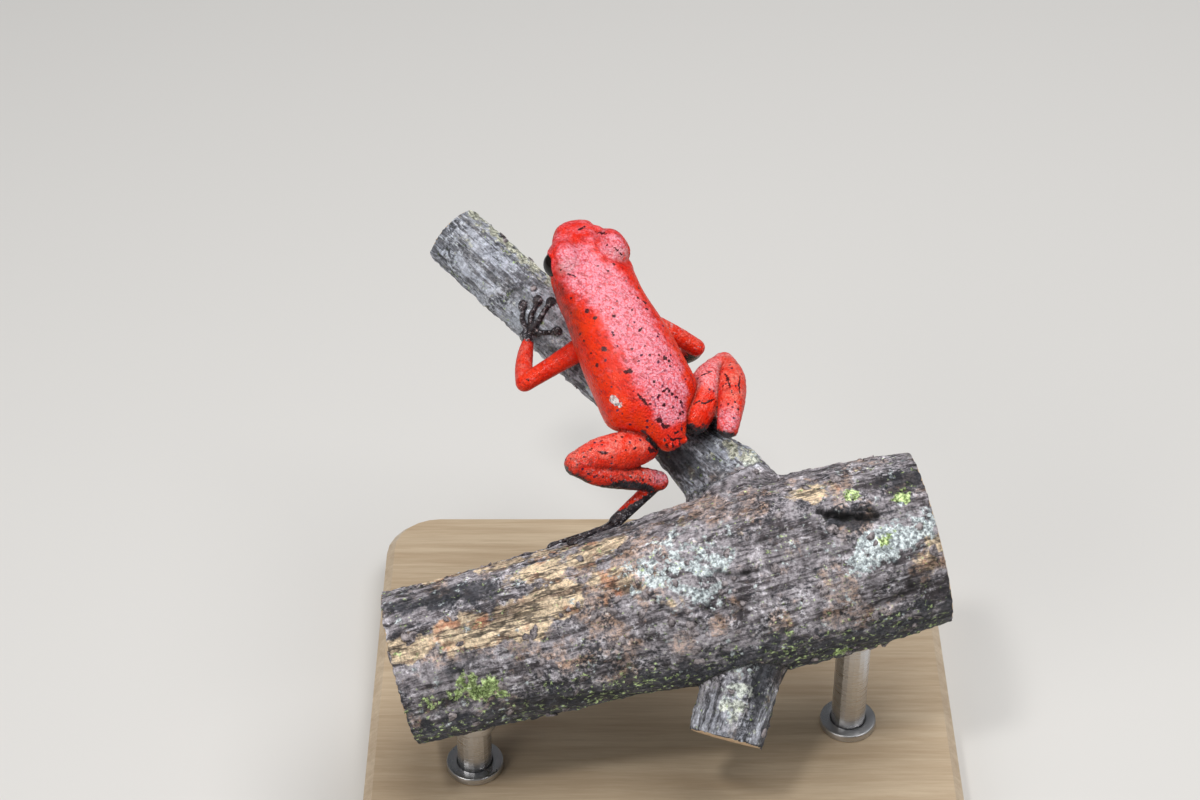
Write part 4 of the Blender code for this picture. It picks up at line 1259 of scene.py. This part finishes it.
def makeSkin():
    shells = [bodyShell()]
    distance, across, high, size = frogBody["brow"]
    for side, lid in frogBody["lids"].items():
        shells.append(bodyEgg(lid[0], lid[1] * side, lid[2], frogBody["lidSize"], lid[0]))
        shells.append(bodyEgg(distance, across * side, high, size, lid[0]))
    shells.append(bodyEgg(*frogBody["cheek"], frogBody["cheek"][0]))
    for x, y, z, radius in frogBody["ventBumps"]:
        shells.append(egg(np.array((x, y, z)), np.eye(3), (radius,) * 3, around=16, down=10))
    for path, radii in limbs.values():
        shells.append(rod(path, radii, frogBody["limbUp"], sides=32, steps=8))
    gripPaths = {}
    for name in grips:
        found, gripPaths[name] = gripShells(name)
        shells += found
    obj = fuse(solid("frogSkin", shells), frogBody["voxel"])
    points = pointsOf(obj)
    weights = np.zeros(len(points))
    browTops = [(onBody(distance + 0.1, across * side, high + 0.5), 1.6) for side in (-1, 1)]
    for centre, radius in frogBody["armpits"] + browTops:
        weights = np.maximum(weights, 1 - ramp(radius * 0.5, radius, gapTo(points, centre)))
    deep, light = frogBody["softenRepeats"]
    soften(obj, weights, deep)
    soften(obj, np.full(len(points), 0.5), light)
    at = readSkin(obj, gripPaths)
    reliefMaps = shapeSkin(at)
    movePoints(obj, at.points)
    for name, values in {**reliefMaps, **colourMaps(obj, at, gripPaths)}.items():
        keep(obj, name, values)
    return obj


def readSkin(obj, gripPaths):
    # where each point is on the body, and which part of the frog it belongs to
    points = pointsOf(obj)
    behind, side, height, bodyGap = bodyPlace(points)
    gaps, shares = {"body": bodyGap}, {}
    for name, (path, radii) in limbs.items():
        gap, shares[name] = distanceTo(points, smoothLine(path, 4))
        gaps[name] = gap - np.interp(shares[name], np.linspace(0, 1, 4), radii)
    for name, paths in gripPaths.items():
        gap = distanceTo(points, paths[0])[0] - 0.6
        for path in paths[1:]:
            gap = np.minimum(gap, distanceTo(points, path)[0] - 0.28)
        gaps[name] = gap
    owner = np.argmin(np.array(list(gaps.values())), 0)
    has = {name: owner == i for i, name in enumerate(gaps)}
    leg = sum(has[name] for name in limbs if "shank" in name or "thigh" in name)
    return SimpleNamespace(points=points, normals=normalsOf(obj), behind=behind, side=side, height=height,
                           gaps=gaps, shares=shares, has=has, isBody=has["body"], leg=leg)


# Relief: rise (below 0 a groove), distance from the line or middle, width.
relief = {
    "mouth": [(0.10, 0.28, 0.16), (-0.18, 0.0, 0.10)],
    "nostril": [(0.07, 0.27, 0.12), (-0.24, 0.0, 0.14)],
    "eardrum": [(0.05, 0.70, 0.12), (-0.10, 0.48, 0.10)],
    "lid": [(0.07, 1.30, 0.12), (-0.12, 1.08, 0.10)],
    "eardrumSink": 0.05,
    # painted shade in the same grooves and pits: strength, distance, width
    "ink": {"mouth": (0.7, 0.0, 0.11), "nostril": (1.1, 0.0, 0.15), "eardrum": (0.35, 0.48, 0.12)},
    # creases where two parts meet, and how deep
    "folds": [("body", "thigh_left", 1.0), ("body", "thigh_right", 1.0), ("body", "upper_arm_left", 0.4),
              ("body", "upper_arm_right", 0.4), ("thigh_left", "shank_left", 0.7),
              ("thigh_right", "shank_right", 0.9), ("upper_arm_left", "forearm_left", 0.3)],
    "foldReach": 0.6,
    "foldWidth": 0.20,
    # raised flecks: rise, unevenness, size of the lumps
    "fleck": (0.05, 0.06, 0.22),
    # the folds stop at these joints, between these distances from them
    "joints": ("shank_left", "shank_right", "forearm_left"),
    "jointReach": (1.3, 1.9),
}


def rings(gap, shape):
    return sum(rise * bell(gap, middle, width) for rise, middle, width in shape)


def faceRelief(at):
    # mouth line with its lips, nostrils, eardrums, and the folds round the lids
    points = at.points
    mouth = []
    for sign, order in ((-1, frogBody["mouth"][::-1]), (1, frogBody["mouth"])):
        for distance in order:
            low = -frogBody["mouthShare"] * rowAt(distance, 3)
            mouth.append(onBody(distance, sign * flank(distance, low), low))
        if sign < 0:
            mouth.append(onBody(*frogBody["mouthMiddle"]))
    gap = distanceTo(points, smoothLine(mouth, 4))[0]
    lift = rings(gap, relief["mouth"])
    # painted shade in the mouth line, and below in the nostrils and eardrum rings
    inked = rings(gap, [relief["ink"]["mouth"]])
    ringed, shine = np.zeros(len(points)), np.zeros(len(points))
    for sign in (-1, 1):
        distance, across, high = frogBody["nostril"]
        gap = gapTo(points, onBody(distance, across * sign, high))
        lift += rings(gap, relief["nostril"])
        inked = np.maximum(inked, rings(gap, [relief["ink"]["nostril"]]))
        distance, high = frogBody["eardrum"]
        gap = gapTo(points, onBody(distance, sign * flank(distance, high), high))
        lift += rings(gap, relief["eardrum"]) - relief["eardrumSink"] * (1 - ramp(0.3, 0.45, gap))
        inked = np.maximum(inked, rings(gap, [relief["ink"]["eardrum"]]))
        distance, across, high = frogBody["lids"][sign]
        middle, ahead, right, up = spineAt(distance)
        own = points - onBody(distance, across * sign, high)
        wide, long, tall = frogBody["lidSize"]
        out, back, rise = own @ right * sign / wide, -(own @ ahead) / long, own @ up / tall
        shape = np.sqrt(out ** 2 + back ** 2 + rise ** 2)
        mask = np.clip(ramp(-0.2, 0.6, -out) + ramp(0.2, 0.9, back), 0, 1) * (at.height > 0) * at.isBody
        lift += mask * rings(shape, relief["lid"])
        # painted shade in the fold round the lid
        ringed = np.maximum(ringed, mask * bell(shape, 1.08, 0.08))
        # a crescent of painted highlight on the back of the dome
        crescent = at.isBody * ramp(0.20, 0.55, back) * ramp(0.1, 0.6, rise)
        shine = np.maximum(shine, crescent * bell(shape, 0.97, 0.07))
    return lift, inked, ringed, shine


def openLids(points):
    # the lids open round the eyeballs
    distance, across, high = eyes["place"]
    middle, ahead, right, up = spineAt(distance)
    for sign in (-1, 1):
        centre = onBody(distance, across * sign, high)
        look = unit(right * sign + up * eyes["lookUp"][sign] + ahead * eyes["lookAhead"])
        top = unit(up - look * (up @ look))
        off = points - centre
        radius = np.linalg.norm(off, axis=1)
        out = off / radius[:, None]
        wide = np.degrees(np.arctan2(out @ np.cross(top, look), out @ look)) / eyes["openWide"]
        tall = np.degrees(np.arctan2(out @ top, out @ look)) / eyes["openHigh"]
        opening = np.sqrt(wide ** 2 + tall ** 2)
        near = radius < eyes["radius"] + eyes["reach"]
        inside = (1 - ramp(0.90, 1.06, opening)) * near
        lid = eyes["radius"] + eyes["lidThick"] * ramp(-0.6, 0.5, tall)
        pulled = radius + (np.maximum(radius, lid) - radius) * bell(opening, 1.1, 0.25)
        radius = np.where(near, pulled, radius) + eyes["lidEdge"] * bell(opening, 1.16, 0.13) * near
        radius = radius * (1 - inside) + inside * (eyes["radius"] - eyes["behindBall"])
        points = centre + out * radius[:, None]
    return points


def shapeSkin(at):
    # grains, wrinkles, folds and face in the skin's surface; gives the masks that follow them
    points = at.points
    fold = np.zeros(len(points))
    for first, second, strength in relief["folds"]:
        close = (at.gaps[first] < relief["foldReach"]) * (at.gaps[second] < relief["foldReach"])
        seam = bell(at.gaps[first] - at.gaps[second], 0, relief["foldWidth"])
        fold = np.maximum(fold, strength * close * seam)
    near, far = relief["jointReach"]
    joints = [1 - ramp(near, far, gapTo(points, limbs[name][0][0])) for name in relief["joints"]]
    fold *= 1 - np.maximum.reduce(joints)
    grainy = np.where(at.isBody, 1.0, 0.5)
    for name in grips:
        grainy[at.has[name]] = 0.2
    lift, inked, ringed, shine = faceRelief(at)
    lift += frogBody["grains"] * grainy * lumps(points, 0.16)
    lift += frogBody["wrinkles"] * lumps(points, 0.42, 5.1) * np.where(at.leg > 0, 1.3, 0.35)
    lift -= frogBody["crease"] * fold
    flecks = spots(points, [(*onNearest(points, place[:3]), place[3]) for place in marks["flecks"]])
    rise, uneven, size = relief["fleck"]
    lift += flecks * (rise + uneven * lumps(points, size, 8.8))
    at.points = openLids(points + at.normals * lift[:, None])

    behind = at.behind
    # darker down the left side of the neck: painted shade, with some brown mottling
    neck = ramp(0.70, 1.0, -at.side / rowAt(behind, 1)) * ramp(4.8, 6.4, behind)
    neck *= (1 - ramp(9.0, 12.0, behind)) * at.isBody * (0.5 + 0.5 * lumps(at.points, 0.6, 1.9))
    # painted shade in the folds between parts and round the lids
    creased = np.maximum(np.clip(fold * 1.1 - 0.25, 0, 1) * 0.85, ringed * 0.22)
    return {
        "fold": np.clip(np.maximum.reduce([creased, neck, inked]), 0, 1),
        "fleck": flecks * 0.66,
        "shine": shine * np.clip(0.75 + 1.3 * lumps(at.points, 0.30, 6.6), 0, 1),
    }


# The pink band: partly the skin's own pink, partly a painted sheen of sky light on the back. Its middle, half
# width and strength are given by the distance behind the snout.
pinkBand = {
    "middle": {1: -1.0, 3: -1.35, 4.6: -1.4, 5.6: -1.0, 7.2: -0.25, 9.5: 0.4, 16: 0.65, 20: 0.45, 22: 0.4},
    "halfWidth": {1: 1.2, 3: 1.8, 5: 1.8, 7: 2.5, 9.5: 2.15, 17: 2.25, 20: 1.5, 22: 0.6},
    "strength": {1: 0.86, 5: 0.95, 10: 1.0},
    "snout": 0.30,
    # painted pink highlight on the tops of the two domes: strength, inner and outer reach
    "domes": {1: (0.80, 0.6, 1.75), -1: (0.62, 0.3, 1.55)},
    # painted pink highlight on the upper sides of the limbs: strength, and how much more at the heel
    "limbs": {"shank_right": (0.42, 0.42), "thigh_left": (0.42, 0.0), "shank_left": (0.40, 0.58),
              "upper_arm_right": (0.30, 0.0), "forearm_left": (0.32, 0.0)},
    # the same on the right thigh: strength, and how much more along its inner part
    "thighRight": (0.18, 0.66),
}
# Painted wet glints: strength, and how far along the limb they start.
glintPlaces = {"shank_left": (1.0, 0.1), "thigh_right": (0.70, 0.3), "shank_right": (0.65, 0.72),
             "thigh_left": (0.35, 0.5), "upper_arm_right": (1.0, 0.2), "upper_arm_left": (0.3, 0.3)}
# Black of the hands and feet: where it starts and is full, and its shift to the right and below.
gripDusk = {"hand_left": (0.05, 0.45, 0.0, 0.0), "hand_right": (0.05, 0.45, 0.0, 0.0),
            "foot_left": (0.18, 0.62, 0.38, 0.30), "foot_right": (0.0, 0.4, 0.0, 0.3)}


def along(table, values):
    return np.interp(values, list(table), list(table.values()))


def pinkMap(at, upper, innerThigh):
    # pink of the back and snout, partly painted sheen, with painted highlights on the lid domes and the upper
    # sides of the limbs
    behind, has = at.behind, at.has
    off = np.abs(at.side - along(pinkBand["middle"], behind)) / along(pinkBand["halfWidth"], behind)
    pink = along(pinkBand["strength"], behind) * (1 - ramp(0.45, 1.40, off)) * ramp(0.2, 1.0, at.height)
    pink *= ramp(2.1, 4.4, behind) * (1 - ramp(20.0, 20.9, behind)) * at.isBody
    snout = pinkBand["snout"] * at.isBody * (1 - ramp(3.2, 4.6, behind)) * ramp(0.0, 1.0, at.height)
    layers = [pink, snout]
    for sign, (amount, inner, outer) in pinkBand["domes"].items():
        distance, across, high = frogBody["lids"][sign]
        gap = gapTo(at.points, onBody(distance + 0.3, (across - 0.25) * sign, high + 1.5))
        layers.append(at.isBody * amount * (1 - ramp(inner, outer, gap)))
    for name, (amount, heel) in pinkBand["limbs"].items():
        layers.append(has[name] * upper * (amount + heel * ramp(0.75, 0.92, at.shares[name])))
    amount, more = pinkBand["thighRight"]
    layers.append(has["thigh_right"] * upper * (amount + more * innerThigh))
    return np.maximum.reduce(layers)


def blackAndShadeMap(at, gripPaths):
    # black hands and feet, knee fringe, undersides darkened partly as the legs' own colour and partly as
    # painted shade, and painted shadow in the gaps
    points, has, shares = at.points, at.has, at.shares
    below = -(at.normals @ np.array(viewUp))
    right = at.normals[:, 0]
    layers = []
    for name, (low, high, byRight, byBelow) in gripDusk.items():
        share = distanceTo(points, gripPaths[name][0])[1]
        layers.append(has[name] * (0.15 + 1.15 * ramp(low, high, share + byRight * right + byBelow * below)))
    for arm, hand in (("forearm_left", "hand_left"), ("forearm_right", "hand_right")):
        wrist = np.array(gripShape["wrist"][hand], float)
        past = (points - wrist) @ unit(wrist - np.array(limbs[arm][0][-2], float))
        layers.append(1.2 * (has[arm] + has[hand]) * ramp(-0.55, 0.45, past) * (shares[arm] > 0.7))
    shin, thigh = shares["shank_left"], shares["thigh_left"]
    reach = ramp(0.32, 0.55, shin) - 0.8 * ramp(0.78, 0.95, shin)
    knee = 1 - ramp(1.3, 2.6, gapTo(points, limbs["shank_left"][0][0]))
    layers += [
        has["shank_left"] * ramp(0.0, 1.0, (below - 0.62 + 0.62 * reach) / 0.7),
        0.20 * has["shank_left"] + 0.22 * has["thigh_left"] * ramp(0.7, 0.95, thigh),
        0.55 * has["thigh_left"] * ramp(0.3, 1.0, below) * ramp(0.35, 0.7, thigh),
        0.85 * (has["thigh_left"] + has["shank_left"]) * knee * ramp(0.30, 0.85, 0.75 * below - 0.55 * right),
        # painted shade on the undersides of the right leg and forearm, and under the rump
        has["shank_right"] * ramp(0.1, 0.8, below - 0.3 * right) * ramp(0.6, 0.9, shares["shank_right"]),
        has["thigh_right"] * ramp(0.2, 0.9, below),
        has["forearm_right"] * 0.8 * ramp(0.1, 0.7, below),
        at.isBody * ramp(19.0, 20.5, at.behind) * ramp(-0.4, -1.1, at.height),
    ]
    # painted shadow in the gaps between parts
    for path, width in marks["gaps"]:
        layers.append(1 - ramp(width * 0.3, width * 1.5, distanceTo(points, path)[0]))
    return np.maximum.reduce(layers)


def speckMap(obj, points):
    tree = treeOf(obj)
    speck = spots(points, [(*seenOn(tree, x, y), radius) for x, y, radius in marks["specks"]])
    uneven = np.clip(1 + 1.1 * lumps(points, 0.24, 2.7), 0.35, 1.7)
    for path, width in marks["lines"]:
        gap, share = distanceTo(points, [seenOn(tree, x, y) for x, y in path])
        thick = width * uneven * (0.60 + 0.65 * np.sin(math.pi * share))
        speck = np.maximum(speck, 1 - ramp(0.7, 1.3, gap / thick))
    return speck


def colourMaps(obj, at, gripPaths):
    # where the skin's colours change, one value for each point
    behind, side, height, has = at.behind, at.side, at.height, at.has
    # faces turned upwards, where the painted highlights and glints go
    upper = ramp(0.0, 0.9, at.normals @ unit(np.array((0, -0.2, 1.0))))
    thigh = at.shares["thigh_right"]
    innerThigh = ramp(0.26, 0.44, thigh) * (1 - 0.4 * ramp(0.72, 0.95, thigh))
    low = ramp(0.3, 0.8, np.abs(side) / rowAt(behind, 1)) * ramp(6, 9, behind)
    # painted rim light along the lower edge of the left flank
    rimLight = 0.8 * bell(height, -1.1, 0.30) * ramp(-2.0, -3.0, side) * ramp(12.0, 15.0, behind)
    pepper = (0.25 * ramp(5, 12, behind) + 0.75 * ramp(12, 18, behind)) * ramp(0.1, 1.0, height) * at.isBody
    heels = sum(has[name] * ramp(0.72, 0.92, at.shares[name]) for name in ("shank_left", "shank_right"))
    # painted wet glints on the hands and feet and on the upper sides of the limbs
    wetGlint = sum(has[name] for name in grips) * 1.0
    for name, (amount, first) in glintPlaces.items():
        wetGlint = np.maximum(wetGlint, has[name] * amount * upper * ramp(first, first + 0.15, at.shares[name]))
    return {
        "pinkAndSheen": pinkMap(at, upper, innerThigh),
        "flank": np.where(at.isBody, np.maximum(low, ramp(0.5, -0.8, height)), 0.5),
        # salmon on the limbs, but the rose of the painted highlight on the heels and the inner right thigh
        "limb": 1.0 - at.isBody - 0.85 * heels - 0.55 * has["thigh_right"] * innerThigh,
        "rimLight": rimLight * at.isBody * (1 - ramp(17.6, 18.6, behind)),
        "peppered": np.maximum(pepper, 0.62 * (at.leg > 0)),
        "speck": speckMap(obj, at.points),
        "blackAndShade": blackAndShadeMap(at, gripPaths),
        "wetGlint": wetGlint,
    }


frogSkin = makeSkin()
print("skin shaped:", len(frogSkin.data.polygons), "faces")


def makeEyes():
    distance, across, high = eyes["place"]
    middle, ahead, right, up = spineAt(distance)
    sizes = (eyes["radius"],) * 3
    for side, sign in (("Left", -1), ("Right", 1)):
        place = onBody(distance, across * sign, high)
        ball = solid("eye" + side, [egg(place, (ahead, up, right * sign), sizes, around=48, down=28)])
        outward(ball)
        finishPiece(ball, [eyeFinish], ("eye_" + side.lower(),))


makeEyes()
print("eyes made")


# Steel collars where the rods meet the branch and the base

collars = {
    "places": {"Left": (-16.4, -11.8), "Right": (16.5, -6.6)},
    "rod": 1.5,
    "play": 0.03,
    "wall": 0.55,
    "height": 1.5,
    "foot": (0.95, 0.75),
    "edge": 0.14,
    "sides": 56,
    # where the branch is felt for: distance from the rod's middle and height above the base
    "feel": (1.8, 1.0),
    "sunk": 0.25,
}


def hoop(name, rings):
    # closed ring-shaped skin through rings of points, the last joined to the first
    rings = np.asarray(rings)
    count, sides = rings.shape[:2]
    faces = []
    for i in range(count):
        for j in range(sides):
            k, n = (j + 1) % sides, (i + 1) % count
            faces.append((i * sides + j, i * sides + k, n * sides + k, n * sides + j))
    return solid(name, [(rings.reshape(-1, 3), faces)])


def turnedRing(centre, inner, outer, low, high):
    # rounded section between two radii and two heights, turned about an upright line
    edge = collars["edge"]
    turns = np.linspace(0, 2 * math.pi, collars["sides"], endpoint=False)
    rings = []
    for radius, up, cornerTurn in ((outer, 0, -90), (outer, 1, 0), (inner, 1, 90), (inner, 0, 180)):
        inset = -edge if radius == outer else edge
        for step in (0, 30, 60, 90):
            angle = math.radians(cornerTurn + step)
            reach = radius + inset + edge * math.cos(angle)
            lift = (high - edge if up else low + edge) + edge * math.sin(angle)
            x, y = centre[0] + reach * np.cos(turns), centre[1] + reach * np.sin(turns)
            rings.append(np.stack([x, y, np.broadcast_to(lift, turns.shape)], 1))
    return rings


def makeCollars():
    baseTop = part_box("stand_base")[1][2] / toMetres
    inner = collars["rod"] + collars["play"]
    wide, tall = collars["foot"]
    reach, rise = collars["feel"]
    for side, (x, y) in collars["places"].items():
        touch = []
        for turn in np.linspace(0, 2 * math.pi, collars["sides"], endpoint=False):
            start = Vector((x + reach * math.cos(turn), y + reach * math.sin(turn), baseTop + rise))
            touch.append(forkTree.ray_cast(start, Vector((0, 0, 1)))[0].z)
        touch = np.array(touch)
        foot = turnedRing((x, y), inner, inner + wide, baseTop, baseTop + tall)
        low = touch.min() - collars["height"]
        top = turnedRing((x, y), inner, inner + collars["wall"], low, touch + collars["sunk"])
        for name, rings in (("footCollar", foot), ("topCollar", top)):
            collar = hoop(name + side, rings)
            outward(collar)
            finishPiece(collar, [steelFinish])


makeCollars()
print("collars made")


# Moss, lichen crust and loose flakes that grow on the bark

growth = {
    # name: mask, number per square millimetre, smallest and largest size, lean, seed
    "mossTufts": ("mossy", 26.0, 0.16, 0.36, 0.5, 3),
    "lichenFlakes": ("crusty", 9.0, 0.14, 0.42, 0.30, 7),
    "barkFlakes": ("flaky", 0.55, 0.35, 0.95, 0.22, 11),
    "clearOfFrog": 0.45,
}


def mossTuft():
    # a few curved tapering blades from one root
    points, faces = [], []
    for blade in range(7):
        turn = blade * 2.4
        lean = 0.25 + 0.5 * (blade % 3) / 2
        out = np.array((math.cos(turn), math.sin(turn), 0))
        side = np.array((-out[1], out[0], 0)) * 0.11
        start = len(points)
        for part, width in ((0.0, 1.0), (0.55, 0.8)):
            middle = out * lean * part ** 1.6 + np.array((0, 0, part - 0.06))
            points += [middle - side * width, middle + side * width, middle + out * 0.10 * width]
        points.append(out * lean + np.array((0, 0, 0.95)))
        for j in range(3):
            k = (j + 1) % 3
            faces.append((start + j, start + k, start + 3 + k, start + 3 + j))
            faces.append((start + 3 + j, start + 3 + k, start + 6))
        faces.append((start + 2, start + 1, start))
    return np.array(points), faces


def crumb(sides, thick, wave, seed):
    # flat ragged flake with a raised, curling edge
    turns = np.linspace(0, 2 * math.pi, sides, endpoint=False)
    reach = 0.5 * (1 + wave * np.sin(turns * 2 + seed) + wave * np.sin(turns * 3 + 2 * seed))
    low = np.stack([np.cos(turns) * reach * 0.8, np.sin(turns) * reach * 0.8, np.full(sides, -0.08)], 1)
    curl = thick * (0.9 + 0.5 * np.sin(turns + seed))
    high = np.stack([np.cos(turns) * reach, np.sin(turns) * reach, curl], 1)
    top = np.array([[0.05, 0.0, thick * 0.55]])
    points = np.vstack([low, high, top])
    faces = [tuple(range(sides - 1, -1, -1))]
    for j in range(sides):
        k = (j + 1) % sides
        faces.append((j, k, sides + k, sides + j))
        faces.append((sides + j, sides + k, 2 * sides))
    return points, faces


def scatterTree():
    tree = bpy.data.node_groups.new("scatterOnBark", "GeometryNodeTree")
    for name, kind, start in (("Bark", "Geometry", None), ("Piece", "Object", None), ("Mask", "String", ""),
                              ("Per Area", "Float", 4.0), ("Smallest", "Float", 0.2),
                              ("Largest", "Float", 0.5), ("Lean", "Float", 0.3), ("Seed", "Int", 1),
                              ("Finish", "Material", None)):
        socket = tree.interface.new_socket(name=name, in_out="INPUT", socket_type="NodeSocket" + kind)
        if start is not None:
            socket.default_value = start
    tree.interface.new_socket(name="Growth", in_out="OUTPUT", socket_type="NodeSocketGeometry")
    given = tree.nodes.new("NodeGroupInput").outputs
    seed, lean = given["Seed"], given["Lean"]
    mask = put(tree, "GeometryNodeInputNamedAttribute", {"Name": given["Mask"]}).outputs[0]
    where = {"Mesh": given["Bark"], "Density": times(tree, mask, given["Per Area"]), "Seed": seed}
    spread = put(tree, "GeometryNodeDistributePointsOnFaces", where).outputs
    sizes = {2: given["Smallest"], 3: given["Largest"], "Seed": seed}
    size = put(tree, "FunctionNodeRandomValue", sizes, data_type="FLOAT").outputs[1]
    back = times(tree, lean, -1.0)
    low = put(tree, "ShaderNodeCombineXYZ", {"X": back, "Y": back, "Z": -3.1416}).outputs[0]
    high = put(tree, "ShaderNodeCombineXYZ", {"X": lean, "Y": lean, "Z": 3.1416}).outputs[0]
    turns = {0: low, 1: high, "Seed": seed}
    turn = put(tree, "FunctionNodeRandomValue", turns, data_type="FLOAT_VECTOR").outputs[0]
    turned = put(tree, "FunctionNodeRotateRotation", {0: spread["Rotation"], 1: turn}, rotation_space="LOCAL")
    shape = put(tree, "GeometryNodeObjectInfo", {"Object": given["Piece"]}).outputs["Geometry"]
    copies = {"Points": spread["Points"], "Instance": shape, "Rotation": turned.outputs[0], "Scale": size}
    placed = put(tree, "GeometryNodeInstanceOnPoints", copies).outputs[0]
    real = put(tree, "GeometryNodeRealizeInstances", {"Geometry": placed}).outputs[0]
    done = put(tree, "GeometryNodeSetMaterial", {"Geometry": real, "Material": given["Finish"]}).outputs[0]
    tree.links.new(done, tree.nodes.new("NodeGroupOutput").inputs[0])
    return tree


def growOn(bark, tree, name, shape, finish):
    mask, perArea, smallest, largest, lean, seed = growth[name]
    piece = solid(name + "Shape", [shape])
    outward(piece)
    carrier = bpy.data.objects.new(name, bark.data.copy())
    world.collection.objects.link(carrier)
    grower = carrier.modifiers.new("scatter", "NODES")
    grower.node_group = tree
    values = {"Piece": piece, "Mask": mask, "Per Area": perArea, "Smallest": smallest, "Largest": largest,
              "Lean": lean, "Seed": seed, "Finish": finish}
    for item in tree.interface.items_tree:
        if item.in_out == "INPUT" and item.name in values:
            grower[item.identifier] = values[item.name]
    settle(carrier)
    bpy.data.objects.remove(piece)
    carrier.data.materials.clear()
    finishPiece(carrier, [finish])
    print(name + ":", len(carrier.data.polygons), "faces")


def growAll():
    points = pointsOf(forkBranch)
    frogTree = treeOf(frogSkin)
    gap = np.array([(frogTree.find_nearest(p, 2.0)[3] or 9.0) for p in points.tolist()])
    cut = np.zeros(len(points))
    forkBranch.data.attributes["cutEnd"].data.foreach_get("value", cut)
    clear = ramp(growth["clearOfFrog"], growth["clearOfFrog"] + 0.3, gap) * (cut < 0.1)
    place, twigShare = stickCoordinates(points)[1:]
    moss, lichen, charAndShade = (stickPatches(place, name) for name in ("moss", "lichen", "charAndShade"))
    patchy = ramp(0.0, 0.4, lumps(place, 1.3, 2.2)) * (1 - ramp(0.1, 0.5, charAndShade))
    broken = ramp(-0.15, 0.30, lumps(place, 0.7, 6.1))
    tufted = ramp(-0.30, 0.10, lumps(place, 0.6, 4.7))
    keep(forkBranch, "mossy", np.clip(moss * 1.3, 0, 1) ** 2 * clear * tufted)
    keep(forkBranch, "crusty", np.clip(lichen * 1.2, 0, 1) ** 2 * clear * broken)
    keep(forkBranch, "flaky", patchy * clear * (1 - 0.8 * twigShare))
    tree = scatterTree()
    growOn(forkBranch, tree, "mossTufts", mossTuft(), mossFinish)
    growOn(forkBranch, tree, "lichenFlakes", crumb(7, 0.14, 0.20, 1.0), lichenFinish)
    growOn(forkBranch, tree, "barkFlakes", crumb(8, 0.11, 0.20, 2.0), flakeFinish)
    for name in ("mossy", "crusty", "flaky", "cutEnd"):
        forkBranch.data.attributes.remove(forkBranch.data.attributes[name])


growAll()
finishPiece(forkBranch, [barkFinish, cutFinish], ("perch_branch", "perch_twig"))
finishPiece(frogSkin, [skinFinish], tuple(limbs) + tuple(grips) + ("head", "torso"))


# Plain pale floor and soft light

studioLook = {
    # name: place, size, watts, colour
    "lights": {
        "skyLight": ((0.08, 0.0, 0.40), 0.32, 1.40, (1.0, 0.99, 0.98)),
        "frontLight": ((-0.32, -0.34, 0.26), 0.26, 0.65, (1.0, 0.98, 0.95)),
        "sparkLight": ((-0.10, -0.16, 0.36), 0.04, 0.32, (1.0, 0.99, 0.97)),
    },
    "aim": (-0.005, 0, 0.03),
    "floor": colour(0.72, 0.71, 0.69),
    "floorReach": 3,
    "sky": colour(0.92, 0.95, 1.0),
    "skyStrength": 0.12,
}


def makeStudio():
    reach = studioLook["floorReach"]
    corners = [(-reach, -reach, 0), (reach, -reach, 0), (reach, reach, 0), (-reach, reach, 0)]
    floor = solid("floor", [(np.array(corners, float), [(0, 1, 2, 3)])])
    material, tree, shader = newMaterial("floor", Roughness=0.8, Base_Color=studioLook["floor"])
    floor.data.materials.append(material)
    for name, (place, size, watts, tint) in studioLook["lights"].items():
        lamp = bpy.data.lights.new(name, "AREA")
        lamp.size = size
        lamp.energy = watts
        lamp.color = tint
        obj = bpy.data.objects.new(name, lamp)
        world.collection.objects.link(obj)
        obj.location = place
        obj.rotation_euler = (Vector(studioLook["aim"]) - Vector(place)).to_track_quat("-Z", "Y").to_euler()
    sky = bpy.data.worlds.new("sky")
    sky.use_nodes = True
    background = sky.node_tree.nodes["Background"].inputs
    background["Color"].default_value = studioLook["sky"]
    background["Strength"].default_value = studioLook["skyStrength"]
    world.world = sky
    world.view_settings.view_transform = "Standard"


makeStudio()
print("studio lit")
